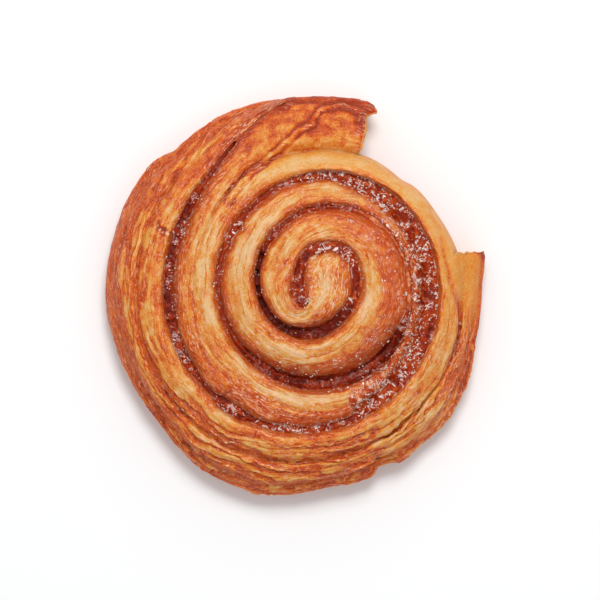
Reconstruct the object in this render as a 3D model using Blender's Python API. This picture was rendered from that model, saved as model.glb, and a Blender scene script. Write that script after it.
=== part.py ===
"""A laminated cinnamon roll: one long strip of dough wound clockwise, a cinnamon layer between its turns.

Sizes are in millimetres and become metres when the meshes are made. +Z is up, the roll lies flat on z = 0,
and the origin is under the middle of its outline. A place along the spiral is given in turns, counted
clockwise from the inner end of the cinnamon layer, so the dough that lies inside the layer at turn t has the
layer of turn t - 1 on its own inside.
"""

import bmesh
import bpy
import numpy as np

MM = 0.001

# Frame of the spiral
ROLL_CENTRE = (5.0, 2.43)  # spiral's centre, from the middle of the roll's outline
START_ANGLE = -135.0  # compass angle of the layer's inner end, degrees anticlockwise from +X
TURN_STEP = 1 / 44  # between ribs
OUTER_TURN_STEP = 1 / 66  # on the outermost lap

# The cinnamon layer: radius at each eighth of a turn, as hand rolling left it
LAYER_RADII = (
    5.0, 4.4, 5.6, 10.9, 13.9, 12.7, 12.1, 13.6,
    14.9, 16.2, 18.6, 23.0, 27.0, 28.4, 29.0, 28.3,
    27.7, 28.0, 29.2, 32.8, 34.4, 35.3, 37.9, 42.1,
    43.4, 42.8, 44.9, 58.5,
)  # fmt: skip
LAYER_END = 145 * TURN_STEP  # where the layer runs out between the wrap and the tail
LAYER_SHEET = 1.0  # thickness between the dough walls
# Width that shows on top, at each quarter of a turn
LAYER_WIDTHS = (3.4, 3.0, 3.0, 2.8, 2.0, 1.7, 1.6, 2.6, 2.4, 2.0, 2.6, 2.6, 2.7, 1.7, 1.0)
LAYER_DEPTH = 3.4  # depth over which the shown width narrows to the sheet
LAYER_SINK = 0.25  # of its upper edges below the dough's
LAYER_DOME = 0.5
LAYER_FOOT = 0.6  # height of the sheet's lower edge above the floor
# Where the filling boils over inwards, how far
SPILL_WIDTHS = ((2.4, 0.0), (2.5, 2.6), (2.625, 3.0), (2.7, 4.2), (2.785, 5.4), (2.81, 5.0), (2.83, 0.0))
SPILL_RISE = 0.45  # of the spill's inner edge, per millimetre of its width
CLEARANCE = 0.35  # between dough and layer
CLOSED_GAP = 0.4  # between the wrap and the tail past the layer's end
CLOSING_TURN = 0.003

# The dough strip, by turns of its outer side
TAIL_EMERGES = (3.341, 3.356)  # the tail's side comes out from under the wrap's end
STRIP_START = 19 * TURN_STEP
STRIP_END = 4.341
TONGUE_ROOT = 0.36  # turn of the layer that the strip's first rib reaches
HOOK_TURNS = (0.85, 1.03)  # the strip bends round the layer's inner end
CROWN_HEIGHTS = (
    (0.42, 28.0), (0.55, 31.0), (0.8, 31.5), (1.2, 30.6), (2.0, 28.6), (2.5, 26.8),
    (3.0, 25.0), (3.42, 23.6), (3.62, 22.6), (4.0, 21.8), (4.2, 20.0), (4.36, 15.5),
)  # fmt: skip
EDGE_LOBE_HEIGHTS = (
    (3.2, 22.0), (3.36, 18.0), (3.42, 15.5), (3.6, 15.0), (3.75, 17.0), (4.0, 18.5), (4.36, 14.5),
)  # fmt: skip
# The layer's top lies this far below the crown outside it
FILLING_DEPTHS = (
    (0.0, 1.2), (0.7, 1.5), (0.9, 2.4), (1.15, 1.4), (1.5, 1.0), (1.75, 3.2), (2.0, 2.6), (2.2, 1.2),
)  # fmt: skip
CROWN_POWER = 2.6  # flatness of a crown
UNEVEN_HEIGHT = 0.45
RIDGE_HEIGHT = 0.4
EDGE_RIDGE_HEIGHT = 0.8  # on the flakier outer lobe
RIDGE_SPACING = 3.1

# The crease that parts the roll's last turn from the tail and from the outer wrap
CREASE_RADII = (
    (3.25, 38.0), (3.375, 40.6), (3.4264, 41.6), (3.5, 41.9), (3.59, 44.2), (3.625, 44.0),
    (3.68, 45.8), (3.75, 47.6), (3.875, 52.0), (4.0, 55.0), (4.125, 53.6), (4.25, 53.0), (4.36, 55.6),
)  # fmt: skip
CREASE_STRENGTH = ((3.16, 0.0), (3.38, 1.0), (3.62, 1.0), (3.8, 0.8), (4.1, 0.55), (4.3, 0.3), (4.36, 0.0))
CREASE_DEPTHS = ((3.3, 1.6), (3.5, 1.6), (3.59, 0.2), (3.66, 1.6))  # below the outer lobe
BARE_TOP = 14.0  # height at which the bare side starts below the crown

# The roll's outline: radius by compass angle, clockwise
TAIL_ANGLE = 71.5  # the tail is cut off here
STEP_ANGLE = 12.5  # and the outer wrap starts here
TAIL_OUTLINE = ((98.0, 57.0), (85.0, 57.3), (71.5, 58.3))
BARE_OUTLINE = ((71.5, 42.4), (65.0, 42.5), (51.0, 41.9), (45.0, 42.9), (30.0, 43.4), (12.5, 44.9))
WRAP_OUTLINE = (
    (12.5, 52.9), (7.5, 52.4), (0.0, 51.2), (-10.0, 51.6), (-25.0, 53.2), (-34.0, 55.5), (-42.5, 57.0),
    (-57.0, 57.4), (-64.0, 58.2), (-69.0, 58.0), (-74.0, 59.7), (-90.0, 61.7), (-99.0, 62.8), (-106.0, 64.2),
    (-120.0, 64.1), (-130.0, 62.7), (-137.0, 61.6), (-154.0, 61.2), (-175.0, 62.1), (-190.0, 61.9),
    (-206.0, 61.3), (-219.0, 60.5), (-226.0, 58.3), (-241.0, 58.3), (-257.0, 57.4), (-267.0, 57.0),
)  # fmt: skip
SIDE_BULGE_HEIGHT = 8.5  # where the outer side reaches furthest out
SIDE_SHOULDER = 3.2  # the side's inset where the crown meets it
SIDE_TUCK = 2.4  # the side's inset at the floor
SIDE_TOP = 0.72  # height of the shoulder, as a share of the lobe's height
BARE_OVERHANG = 0.8  # of the bare side past the foot of its crown

# Points round a rib of the dough
CROWN_POINTS = 8  # on each of the two lobes
SIDE_POINTS = 4
LAYER_TOP_POINTS = 4

DOUGH_COLOUR = (0.70, 0.32, 0.10, 1.0)
LAYER_COLOUR = (0.20, 0.045, 0.012, 1.0)


def through(x, xs, ys):
    """A smooth curve through the points (xs, ys), without overshoot, read at x."""
    xs, ys = np.asarray(xs, float), np.asarray(ys, float)
    x = np.clip(x, xs[0], xs[-1])
    step = np.diff(xs)
    rise = np.diff(ys) / step
    slope = np.concatenate([rise[:1], (rise[:-1] + rise[1:]) / 2, rise[-1:]])
    limit = 3 * np.minimum(np.abs(np.append(rise, rise[-1])), np.abs(np.append(rise[0], rise)))
    turns_back = np.append(rise, rise[-1]) * np.append(rise[0], rise) <= 0
    slope = np.where(turns_back, 0.0, np.clip(slope, -limit, limit))
    k = np.clip(np.searchsorted(xs, x, side="right") - 1, 0, len(step) - 1)
    t = (x - xs[k]) / step[k]
    return (
        ys[k] * (1 + 2 * t) * (1 - t) ** 2
        + ys[k + 1] * t**2 * (3 - 2 * t)
        + step[k] * t * (1 - t) * (slope[k] * (1 - t) - slope[k + 1] * t)
    )


def table(x, pairs):
    """The smooth curve through a table of (place, value) pairs, read at x."""
    return through(x, *zip(*pairs))


def smoothstep(x, low, high):
    t = np.clip((x - low) / (high - low), 0, 1)
    return t * t * (3 - 2 * t)


def turn_of(degrees):
    """The turn on the roll's outermost lap, 3.42 to 4.36, that lies at a compass angle."""
    return 4 + (START_ANGLE - degrees) / 360


def compass(turn):
    return np.radians(START_ANGLE - 360 * turn)


def polar(turn, radius):
    return np.stack([radius * np.cos(compass(turn)), radius * np.sin(compass(turn))], -1)


def layer_line(turn):
    return polar(turn, through(turn, np.arange(len(LAYER_RADII)) / 8, LAYER_RADII))


def layer_side(turn, offset):
    """The layer's line moved sideways by offset, outwards if it is positive."""
    reach = 0.002
    along = layer_line(turn + reach) - layer_line(turn - reach)
    along /= np.linalg.norm(along, axis=-1, keepdims=True)
    outwards = np.stack([-along[..., 1], along[..., 0]], -1)
    return layer_line(turn) + outwards * np.asarray(offset)[..., None]


def layer_half_width(turn):
    return through(turn, np.arange(len(LAYER_WIDTHS)) / 4, LAYER_WIDTHS) / 2


def closing(turn):
    """0 along the layer, rising to 1 just past its outer end."""
    return smoothstep(turn, LAYER_END, LAYER_END + CLOSING_TURN)


def wall_offset(turn):
    """From the layer's line to the dough on either side of it."""
    return (LAYER_SHEET / 2 + CLEARANCE) * (1 - closing(turn)) + CLOSED_GAP / 2 * closing(turn)


def layer_flare(turn):
    return (layer_half_width(turn) - LAYER_SHEET / 2) * (1 - closing(turn))


def layer_spill(turn):
    return table(turn, SPILL_WIDTHS)


def unevenness(turn, seed):
    """A slow wave along the strip, from -1 to 1."""
    return 0.6 * np.sin(2 * np.pi * 2.3 * turn + seed) + 0.4 * np.sin(2 * np.pi * 5.1 * turn + 2.7 * seed)


def crown_height(turn):
    return table(turn, CROWN_HEIGHTS) + UNEVEN_HEIGHT * unevenness(turn, 1.3)


def edge_lobe_height(turn):
    return table(turn, EDGE_LOBE_HEIGHTS) + UNEVEN_HEIGHT * unevenness(turn, 4.1)


def layer_height(turn):
    """The layer's top, set a little below the crown of the dough outside it."""
    return crown_height(turn + 1) - table(turn, FILLING_DEPTHS)


def outline_radius(turn):
    """Radius of the roll's outer side, with a step at the tail's cut end and one where the wrap starts."""
    tail, bare, wrap = (
        table(turn, [(turn_of(degrees), radius) for degrees, radius in outline])
        for outline in (TAIL_OUTLINE, BARE_OUTLINE, WRAP_OUTLINE)
    )
    return np.where(turn <= turn_of(TAIL_ANGLE), tail, np.where(turn < turn_of(STEP_ANGLE), bare, wrap))


def is_bare(turn):
    """1 between the tail and the wrap, where the roll's last turn shows its side, and 0 elsewhere."""
    return ((turn > turn_of(TAIL_ANGLE)) & (turn < turn_of(STEP_ANGLE))).astype(float)


def meets_outline(turn):
    """0 where the strip's outer side is a wall of the layer, and 1 where it is the roll's own side."""
    return smoothstep(turn, *TAIL_EMERGES)


def inner_turn(turn):
    """The turn of the layer that the strip has on its inside. It runs back to 0 along the tongue."""
    tongue = TONGUE_ROOT * (1 - (turn - STRIP_START) / (HOOK_TURNS[0] - STRIP_START))
    return np.where(turn < HOOK_TURNS[1], np.clip(tongue, 0, None), turn - 1)


def inner_edge(turn):
    """The foot of the strip's inner wall, in plan. It bends round the layer's inner end in a half circle."""
    bend = np.clip((turn - HOOK_TURNS[0]) / (HOOK_TURNS[1] - HOOK_TURNS[0]), 0, 1)
    swing = np.pi * (bend - 0.5)[:, None]
    end = layer_line(0.0)
    outwards = layer_side(0.0, 1.0) - end
    backwards = np.array([-outwards[1], outwards[0]])
    around = end + wall_offset(0.0) * (np.sin(swing) * outwards + np.cos(swing) * backwards)
    inside = inner_turn(turn)
    beside = layer_side(inside, np.where(turn < HOOK_TURNS[0], -1, 1) * wall_offset(inside))
    bending = (turn >= HOOK_TURNS[0]) & (turn < HOOK_TURNS[1])
    return np.where(bending[:, None], around, beside)


def outer_edge(turn):
    """The foot of the strip's outer wall, in plan, or its outline once it is outermost."""
    last = TAIL_EMERGES[1]
    wall = layer_side(np.minimum(turn, last), -wall_offset(turn))
    share = meets_outline(turn)[:, None]
    return wall * (1 - share) + polar(turn, outline_radius(turn)) * share


def strip_turns():
    """Where the ribs stand: evenly, with a close pair at each step and where the walls close."""
    steps = [turn_of(TAIL_ANGLE), turn_of(STEP_ANGLE)]
    pairs = [(step - 0.0008, step + 0.0008) for step in steps]
    pairs += [(LAYER_END + lap, LAYER_END + lap + CLOSING_TURN) for lap in (0, 1)]
    inside = np.arange(STRIP_START, LAYER_END - TURN_STEP / 2, TURN_STEP)
    outside = np.arange(LAYER_END, STRIP_END - OUTER_TURN_STEP / 2, OUTER_TURN_STEP)
    apart = [t for t in [*inside, *outside] if np.abs(np.array(pairs) - t).min() > OUTER_TURN_STEP / 3]
    return np.sort(np.concatenate([apart, np.ravel(pairs), [STRIP_END]]))


def ridges(turn, across):
    """The fine ridges that the dough's leaves make along the strip, from -1 to 1, by place across it."""
    phase = 2.1 * np.sin(2 * np.pi * 1.7 * turn) + 1.3 * np.sin(2 * np.pi * 4.3 * turn + 1)
    strength = 0.6 + 0.4 * np.sin(2 * np.pi * 3.1 * turn + across / 2)
    return strength * np.sin(2 * np.pi * across / RIDGE_SPACING + phase)


def bump(share):
    """A crown's outline, from 0 at both edges to 1 in the middle."""
    return 1 - np.abs(2 * share - 1) ** CROWN_POWER


def mix(a, b, share):
    return a * (1 - share) + b * share


def arch(foot, other_foot, top, share):
    """Height of a lobe at a share of its width, between feet at two heights."""
    return mix(foot, other_foot, share) + (top - (foot + other_foot) / 2) * bump(share)


def dough_ribs(turns):
    """One closed rib of the strip at each turn: up the inner wall, over both lobes and down the side."""
    inside = inner_turn(turns)
    inner, outer = inner_edge(turns), outer_edge(turns)
    at_edge, bare = meets_outline(turns)[:, None], is_bare(turns)[:, None]
    width = np.linalg.norm(outer - inner, axis=-1)[:, None]
    across = (outer - inner) / width

    # The walls lean away from the flaring layer, and the roll's own side leans in towards its crown
    spill = layer_spill(turns)
    from_core = np.where(turns < HOOK_TURNS[0], -1, 1)
    bending = ((turns >= HOOK_TURNS[0]) & (turns < HOOK_TURNS[1]))[:, None]
    off_layer = (layer_side(inside, 1.0) - layer_line(inside)) * from_core[:, None]
    off_layer = np.where(bending, (inner - layer_line(0.0)) / wall_offset(0.0), off_layer)
    inner_lean = off_layer * layer_flare(inside)[:, None]
    outer_lean = (layer_line(turns) - layer_side(turns, 1.0)) * (layer_flare(turns) + spill)[:, None]
    shoulder = mix(np.minimum(SIDE_SHOULDER, 0.25 * width), BARE_OVERHANG, bare)
    inner_rim = inner + inner_lean
    outer_rim = outer + mix(outer_lean, -across * shoulder, at_edge)
    rim_width = np.linalg.norm(outer_rim - inner_rim, axis=-1)[:, None]

    turns, inside, spill = turns[:, None], inside[:, None], spill[:, None]
    inner_top, crown = layer_height(inside), crown_height(turns)
    edge_lobe = np.minimum(edge_lobe_height(turns), crown)
    outer_top = mix(layer_height(turns) + SPILL_RISE * spill, SIDE_TOP * edge_lobe, at_edge)

    # The crown, as one lobe and as two with a crease between, mixed by how deep the crease is
    strength = table(turns, CREASE_STRENGTH)
    crease = (table(turns, CREASE_RADII) - np.linalg.norm(inner_rim, axis=-1)[:, None]) / rim_width
    crease = mix(mix(0.5, np.clip(crease, 0.2, 0.85), strength), 0.99, bare)
    crease_top = mix(edge_lobe - table(turns, CREASE_DEPTHS), BARE_TOP, bare)
    share = np.linspace(0, 1, CROWN_POINTS + 1)[None, :]
    over = np.concatenate([crease * share, mix(crease, 1, share[:, 1:])], 1)
    single = arch(inner_top, outer_top, crown, over)
    first = arch(inner_top, crease_top, crown, share)
    second = arch(crease_top, outer_top, edge_lobe, share[:, 1:])
    z_crown = mix(single, np.concatenate([first, second], 1), strength)
    height = mix(RIDGE_HEIGHT, EDGE_RIDGE_HEIGHT, strength * (over > crease))
    z_crown += height * ridges(turns, over * rim_width) * bump(over)
    crown_plan = mix(inner_rim[:, None, :], outer_rim[:, None, :], over[..., None])

    # The outer side: a wall that leans with the layer, or the roll's bulging side
    fall = np.linspace(0, 1, SIDE_POINTS + 1)[None, 1:]
    z_side = outer_top * (1 - fall)
    lean = np.clip(1 - (outer_top - z_side) / LAYER_DEPTH, 0, 1)
    above = np.clip((z_side - SIDE_BULGE_HEIGHT) / (outer_top - SIDE_BULGE_HEIGHT), 0, 1)
    below = np.clip(1 - z_side / SIDE_BULGE_HEIGHT, 0, 1)
    inset = shoulder * above**2 + np.minimum(SIDE_TUCK, 0.3 * width) * below**2
    wall = outer_lean[:, None, :] * lean[..., None]
    side = -across[:, None, :] * inset[..., None]
    side_plan = outer[:, None, :] + mix(wall, side, at_edge[..., None])

    # Where the last turn is bare, its side takes all the points past the crown
    fall = np.linspace(0, 1, CROWN_POINTS + SIDE_POINTS + 1)[None, 1:]
    above = 1 - np.sin(np.pi * np.minimum(fall, 0.5))
    below = np.clip(2 * fall - 1, 0, 1) ** 2
    inset = BARE_OVERHANG * above + SIDE_TUCK * below
    bare_plan = outer[:, None, :] - across[:, None, :] * inset[..., None]
    past_crown = np.concatenate([crown_plan[:, CROWN_POINTS + 1 :], side_plan], 1)
    past_crown = mix(past_crown, bare_plan, bare[..., None])
    z_past = mix(np.concatenate([z_crown[:, CROWN_POINTS + 1 :], z_side], 1), BARE_TOP * (1 - fall), bare)

    foot = inner[:, None, :]
    middle = (foot + past_crown[:, -1:]) / 2
    plan = np.concatenate([foot, foot, crown_plan[:, : CROWN_POINTS + 1], past_crown, middle], 1)
    ground = 0 * width
    z = np.concatenate([ground, inner_top - LAYER_DEPTH, z_crown[:, : CROWN_POINTS + 1], z_past, ground], 1)
    return np.concatenate([plan, z[..., None]], -1)


def layer_reach(flare):
    """How far the layer's upper edge reaches, with the clearance kept square to the dough's sloping wall."""
    slope = np.hypot(flare, LAYER_DEPTH) / LAYER_DEPTH
    return LAYER_SHEET / 2 + CLEARANCE * (1 - slope) + flare * (1 - LAYER_SINK / LAYER_DEPTH)


def layer_ribs():
    """The cinnamon layer's closed ribs: a sheet between the turns that flares to the width that shows."""
    nose = LAYER_SHEET / 2
    turns = np.append(np.arange(0, LAYER_END - TURN_STEP / 2, TURN_STEP), LAYER_END)
    turns = np.concatenate([[0.0, 0.0], turns])[:, None]
    back = np.concatenate([[0.87, 0.5], np.zeros(len(turns) - 2)])[:, None] * nose
    slim = np.sqrt(1 - (back / nose) ** 2)
    sheet = LAYER_SHEET / 2 * slim
    spill = layer_spill(turns)
    reach_in = layer_reach(layer_flare(turns) + spill) * slim
    reach_out = layer_reach(layer_flare(turns)) * slim
    top, rise = layer_height(turns), SPILL_RISE * spill

    across = np.linspace(1, 0, LAYER_TOP_POINTS + 1)[None, :]
    x_top = mix(-reach_in, reach_out, across)
    z_top = top - LAYER_SINK + rise * (1 - across) + LAYER_DOME * (1 - (2 * across - 1) ** 2)
    low = np.full(turns.shape, LAYER_FOOT)
    neck = top - LAYER_DEPTH + CLEARANCE
    x = np.concatenate([-sheet, sheet, sheet, x_top, -sheet], 1)
    z = np.concatenate([low, low, neck, z_top, neck + rise], 1)

    line = layer_line(turns[:, 0])
    outwards = layer_side(turns[:, 0], np.ones(len(turns))) - line
    backwards = np.stack([-outwards[:, 1], outwards[:, 0]], -1)
    plan = (line + backwards * back)[:, None, :] + outwards[:, None, :] * x[..., None]
    return np.concatenate([plan, z[..., None]], -1)


def material(name, colour, roughness):
    made = bpy.data.materials.new(name)
    made.use_nodes = True
    shader = made.node_tree.nodes["Principled BSDF"]
    shader.inputs["Base Color"].default_value = colour
    shader.inputs["Roughness"].default_value = roughness
    shader.inputs["Metallic"].default_value = 0.0
    return made


def loft(name, ribs, finish):
    """A closed body through the ribs, which all have the same number of points, with a face over each end."""
    points = (ribs + np.array([*ROLL_CENTRE, 0.0])) * MM
    bm = bmesh.new()
    rings = [[bm.verts.new(point) for point in rib] for rib in points]
    for ring, following in zip(rings, rings[1:]):
        for i in range(len(ring)):
            j = (i + 1) % len(ring)
            bm.faces.new((ring[i], ring[j], following[j], following[i]))
    bm.faces.new(rings[0])
    bm.faces.new(rings[-1][::-1])
    bmesh.ops.recalc_face_normals(bm, faces=bm.faces)
    mesh = bpy.data.meshes.new(name)
    bm.to_mesh(mesh)
    bm.free()
    mesh.shade_smooth()
    mesh.set_sharp_from_angle(angle=np.radians(50))
    mesh.materials.append(finish)
    made = bpy.data.objects.new(name, mesh)
    bpy.context.scene.collection.objects.link(made)
    return made


def main():
    for old in list(bpy.data.objects):
        bpy.data.objects.remove(old)
    loft("dough", dough_ribs(strip_turns()), material("baked dough", DOUGH_COLOUR, 0.5))
    loft("cinnamon_layer", layer_ribs(), material("cinnamon filling", LAYER_COLOUR, 0.3))


main()
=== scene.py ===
"""The looks of the cinnamon roll: browned laminated dough, sticky cinnamon filling and dried sugar.

Sizes are in millimetres until a mesh is made. A place along the spiral is given in turns, counted clockwise
from the inner end of the filling, and a place across the dough as a share of its crown, from the inner rim
to the outer one. The last value that a noise, cells or patches call is given is its seed. The steps that dress
the dough read and add to one record of its points, called at.
"""

from types import SimpleNamespace

import bpy
import numpy as np
from bpy.props import FloatProperty, FloatVectorProperty, IntProperty, PointerProperty
from mathutils.bvhtree import BVHTree
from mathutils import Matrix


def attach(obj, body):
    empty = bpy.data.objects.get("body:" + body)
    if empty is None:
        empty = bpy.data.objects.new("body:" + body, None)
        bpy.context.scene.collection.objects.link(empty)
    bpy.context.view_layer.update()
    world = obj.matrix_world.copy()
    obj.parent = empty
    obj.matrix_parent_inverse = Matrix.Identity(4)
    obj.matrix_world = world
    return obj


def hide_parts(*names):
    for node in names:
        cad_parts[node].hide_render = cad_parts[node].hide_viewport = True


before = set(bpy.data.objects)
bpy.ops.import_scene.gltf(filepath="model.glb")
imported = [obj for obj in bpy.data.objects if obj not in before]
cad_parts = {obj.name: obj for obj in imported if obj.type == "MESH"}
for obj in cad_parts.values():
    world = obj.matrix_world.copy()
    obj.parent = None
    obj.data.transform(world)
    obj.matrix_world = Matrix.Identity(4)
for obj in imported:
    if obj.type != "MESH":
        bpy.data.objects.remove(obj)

bl_info = {
    "name": "Cinnamon Roll",
    "version": (1, 0, 0),
    "blender": (4, 5, 0),
    "location": "View3D > Sidebar > Cinnamon Roll",
    "description": "Builds a laminated cinnamon roll on its packed solids",
    "category": "Add Mesh",
}

MM = 0.001

# The spiral's centre and the compass angle at which it starts
ROLL_CENTRE = (5.0, 2.43)
START_ANGLE = -135.0
# The layer's line: radius at each eighth of a turn
LAYER_RADII = (
    5.0, 4.4, 5.6, 10.9, 13.9, 12.7, 12.1, 13.6,
    14.9, 16.2, 18.6, 23.0, 27.0, 28.4, 29.0, 28.3,
    27.7, 28.0, 29.2, 32.8, 34.4, 35.3, 37.9, 42.1,
    43.4, 42.8, 44.9, 58.5,
)  # fmt: skip
LAYER_END = 145 / 44
# Thickness of the layer's sheet, and how deep below its top it has widened
LAYER_SHEET = 1.0
LAYER_DEPTH = 3.4
# Past the layer's end the dough on both sides of it closes up, over this part of a turn
CLOSED_GAP = 0.05
CLOSING_TURN = 0.003
RIM_WAVE = 0.28
# Width of the filling that shows, by turn
FILLING_WIDTHS = (
    (0.0, 4.0), (0.25, 3.4), (0.375, 2.8), (0.5, 2.8), (0.625, 2.8), (0.75, 3.0), (0.875, 3.4), (1.0, 2.2),
    (1.06, 1.6), (1.125, 1.2), (1.2, 1.4), (1.3, 1.4), (1.4, 1.4), (1.48, 1.0), (1.56, 0.5), (1.65, 0.8),
    (1.7, 2.8), (1.76, 4.2), (1.87, 4.1), (1.95, 3.0), (2.0, 2.0), (2.06, 1.3), (2.12, 1.0), (2.18, 1.0),
    (2.21, 2.4), (2.26, 1.5), (2.32, 1.3), (2.375, 2.2), (2.42, 3.4), (2.5, 3.6), (2.75, 3.2), (2.83, 2.2),
    (2.9, 2.0), (2.94, 1.8), (2.957, 3.6), (2.982, 3.6), (2.995, 1.0), (3.01, 1.0), (3.03, 2.6), (3.12, 3.0),
    (3.2, 2.7), (3.25, 1.8), (3.28, 0.6), (3.3, 0.0), (3.5, 0.0),
)  # fmt: skip
# How much lower the filling lies in the visible grooves, by turn
FILLING_HOLLOWS = (
    (0.0, 0.0), (0.7, 0.0), (0.82, 1.0), (0.95, 1.2), (1.05, 1.0), (1.15, 1.6), (1.22, 0.6), (1.4, 0.5),
    (1.46, -0.3), (1.63, -0.3), (1.68, 0.6), (1.74, 2.1), (1.9, 2.1), (1.98, 0.8), (2.1, 0.3), (2.22, 0.3),
    (2.4, 0.2), (2.6, 0.0), (3.0, 0.3), (3.1, 0.7), (3.2, 0.4), (3.3, -0.2),
)  # fmt: skip
# Where the filling boils over inwards, how far, and how much the dough's rim gives way to it
SPILL_WIDTHS = ((2.4, 0.0), (2.5, 3.0), (2.6, 5.0), (2.7, 6.0), (2.785, 6.8), (2.82, 6.6), (2.826, 0.5), (2.84, 0.0))
SPILL_SUNK = 0.3
SPILL_RISE = 0.45

# The dough strip, by turns of its outer side: where the wrap thins out, and how round its side is
WRAP_THINS = (4.22, 4.3)
SIDE_ROUNDING = (
    (3.35, 0.0), (3.38, 0.45), (3.4267, 0.45), (3.5, 0.4), (3.6, 0.4), (3.75, 1.0), (4.28, 1.0), (4.35, 0.0),
)  # fmt: skip
# Beside the wrap's step the dough falls in one sheet from the crown to the outer rim
FLAP_SHARE = ((3.5902, 0.0), (3.5904, 0.85), (3.66, 0.85), (3.73, 0.0))
FLAP_FALL = (0.28, 0.95)
TAIL_EMERGES = (3.341, 3.356)
STRIP_START = 19 / 44
STRIP_END = 4.352
# The layer's turn beside the strip's inner end, and the strip's turns that bend round the layer's inner end
TONGUE_ROOT = 0.36
HOOK_TURNS = (0.85, 1.03)
CROWN_HEIGHTS = (
    (0.42, 28.0), (0.55, 31.0), (0.8, 31.5), (1.2, 30.6), (2.0, 28.6), (2.5, 26.8),
    (3.0, 25.0), (3.42, 23.6), (3.62, 22.6), (4.0, 21.8), (4.2, 20.0), (4.36, 15.5),
)  # fmt: skip
EDGE_LOBE_HEIGHTS = (
    (3.2, 22.0), (3.36, 18.0), (3.42, 15.5), (3.6, 15.0), (3.75, 17.0), (4.0, 18.5), (4.36, 14.5),
)  # fmt: skip
# How far below the crown outside it the filling lies, by turn
FILLING_DEPTHS = (
    (0.0, 1.2), (0.7, 1.5), (0.9, 2.4), (1.15, 1.4), (1.45, 0.9), (1.54, 0.3), (1.66, 0.4), (1.75, 3.0),
    (2.0, 2.6), (2.2, 1.2), (2.3, 0.9), (2.45, 0.45), (2.76, 0.45), (2.86, 1.0), (3.2, 1.2), (3.28, 0.3),
    (3.33, -0.6), (3.5, -0.6),
)  # fmt: skip
# How flat the crown is: on its inner half, and on its outer half by turn
CROWN_POWER = 5.0
OUTER_POWERS = ((1.1, 5.0), (1.3, 2.8), (1.5, 2.2), (1.7, 2.4), (1.9, 3.2), (2.1, 4.0), (2.3, 5.0))
UNEVEN_HEIGHT = 0.45
# The crease that parts the crown's two lobes: its radius, how far it is pressed in, and its depth, by turn
CREASE_RADII = (
    (3.25, 38.0), (3.375, 40.6), (3.4264, 41.6), (3.5, 41.9), (3.59, 44.2), (3.625, 44.0),
    (3.68, 45.8), (3.75, 47.6), (3.875, 52.0), (4.0, 55.0), (4.125, 53.6), (4.25, 53.0), (4.36, 55.6),
)  # fmt: skip
CREASE_STRENGTH = ((3.16, 0.0), (3.38, 1.0), (3.62, 1.0), (3.8, 0.8), (4.1, 0.55), (4.3, 0.3), (4.36, 0.0))
CREASE_DEPTHS = ((3.3, 1.2), (3.42, 1.4), (3.5, 1.0), (3.59, 0.1), (3.66, 0.1), (3.74, 0.5), (4.0, 0.8))
# It keeps between these shares of the crown, and lies at the bare side's brim where the last turn is bare
CREASE_LIMITS = (0.2, 0.85)
BARE_CREASE = 0.99
BARE_TOP = 14.0

# The roll's outline: radius by compass angle, clockwise
TAIL_ANGLE = 71.5
STEP_ANGLE = 12.5
TAIL_OUTLINE = ((98.0, 57.0), (85.0, 57.3), (71.5, 58.3))
BARE_OUTLINE = ((71.5, 42.4), (65.0, 42.5), (51.0, 41.9), (45.0, 42.9), (30.0, 43.4), (12.5, 44.9))
WRAP_OUTLINE = (
    (12.5, 52.8), (7.5, 52.0), (0.0, 50.8), (-10.0, 50.9), (-18.0, 51.5), (-25.0, 52.8), (-34.0, 54.9),
    (-42.5, 56.6), (-57.0, 57.5), (-63.0, 58.6), (-65.5, 57.7), (-69.5, 57.3), (-72.3, 59.2), (-78.0, 59.7),
    (-85.0, 60.2), (-95.0, 62.1), (-99.0, 62.8), (-106.0, 64.0), (-120.0, 64.0), (-130.0, 62.7), (-137.0, 61.6),
    (-154.0, 61.2), (-175.0, 62.1), (-190.0, 61.9), (-206.0, 61.3), (-219.0, 60.5), (-226.0, 58.3),
    (-241.0, 58.3), (-257.0, 57.4), (-267.0, 57.0),
)  # fmt: skip
# The roll's side bulges at a height, and draws in towards its rim and its foot, by no more than a share of the width
SIDE_BULGE_HEIGHT = 8.5
SIDE_SHOULDER, SHOULDER_LIMIT = 3.2, 0.25
SIDE_TUCK, TUCK_LIMIT = 2.4, 0.3
SIDE_TOP = 0.72
BARE_OVERHANG = 0.8

# Points of the dough's mesh: on each lobe of the crown, down the side, and the spacing of its rows
CROWN_POINTS = 33
SIDE_POINTS = 20
ROW_SPACING = 0.75
# How much closer the rows stand, by turn
ROW_DENSITY = ((3.26, 1.0), (3.29, 1.8), (3.43, 1.8), (3.46, 1.0), (3.7, 1.0), (3.74, 1.3), (3.96, 1.3), (4.0, 1.0))
# Rows that cross each cut face, the half turn on either side of it, how far along the strip the crowns beside it
# are eased together, and over which part of the crown that fades out
CUT_ROWS = 30
STEP_HALF_TURN = 0.0008
STEP_EASE = 6.0
EASED_CROWN = (0.75, 0.95)
# Places at which a line is measured before rows are set out along it
LINE_SAMPLES = 6000

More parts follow.
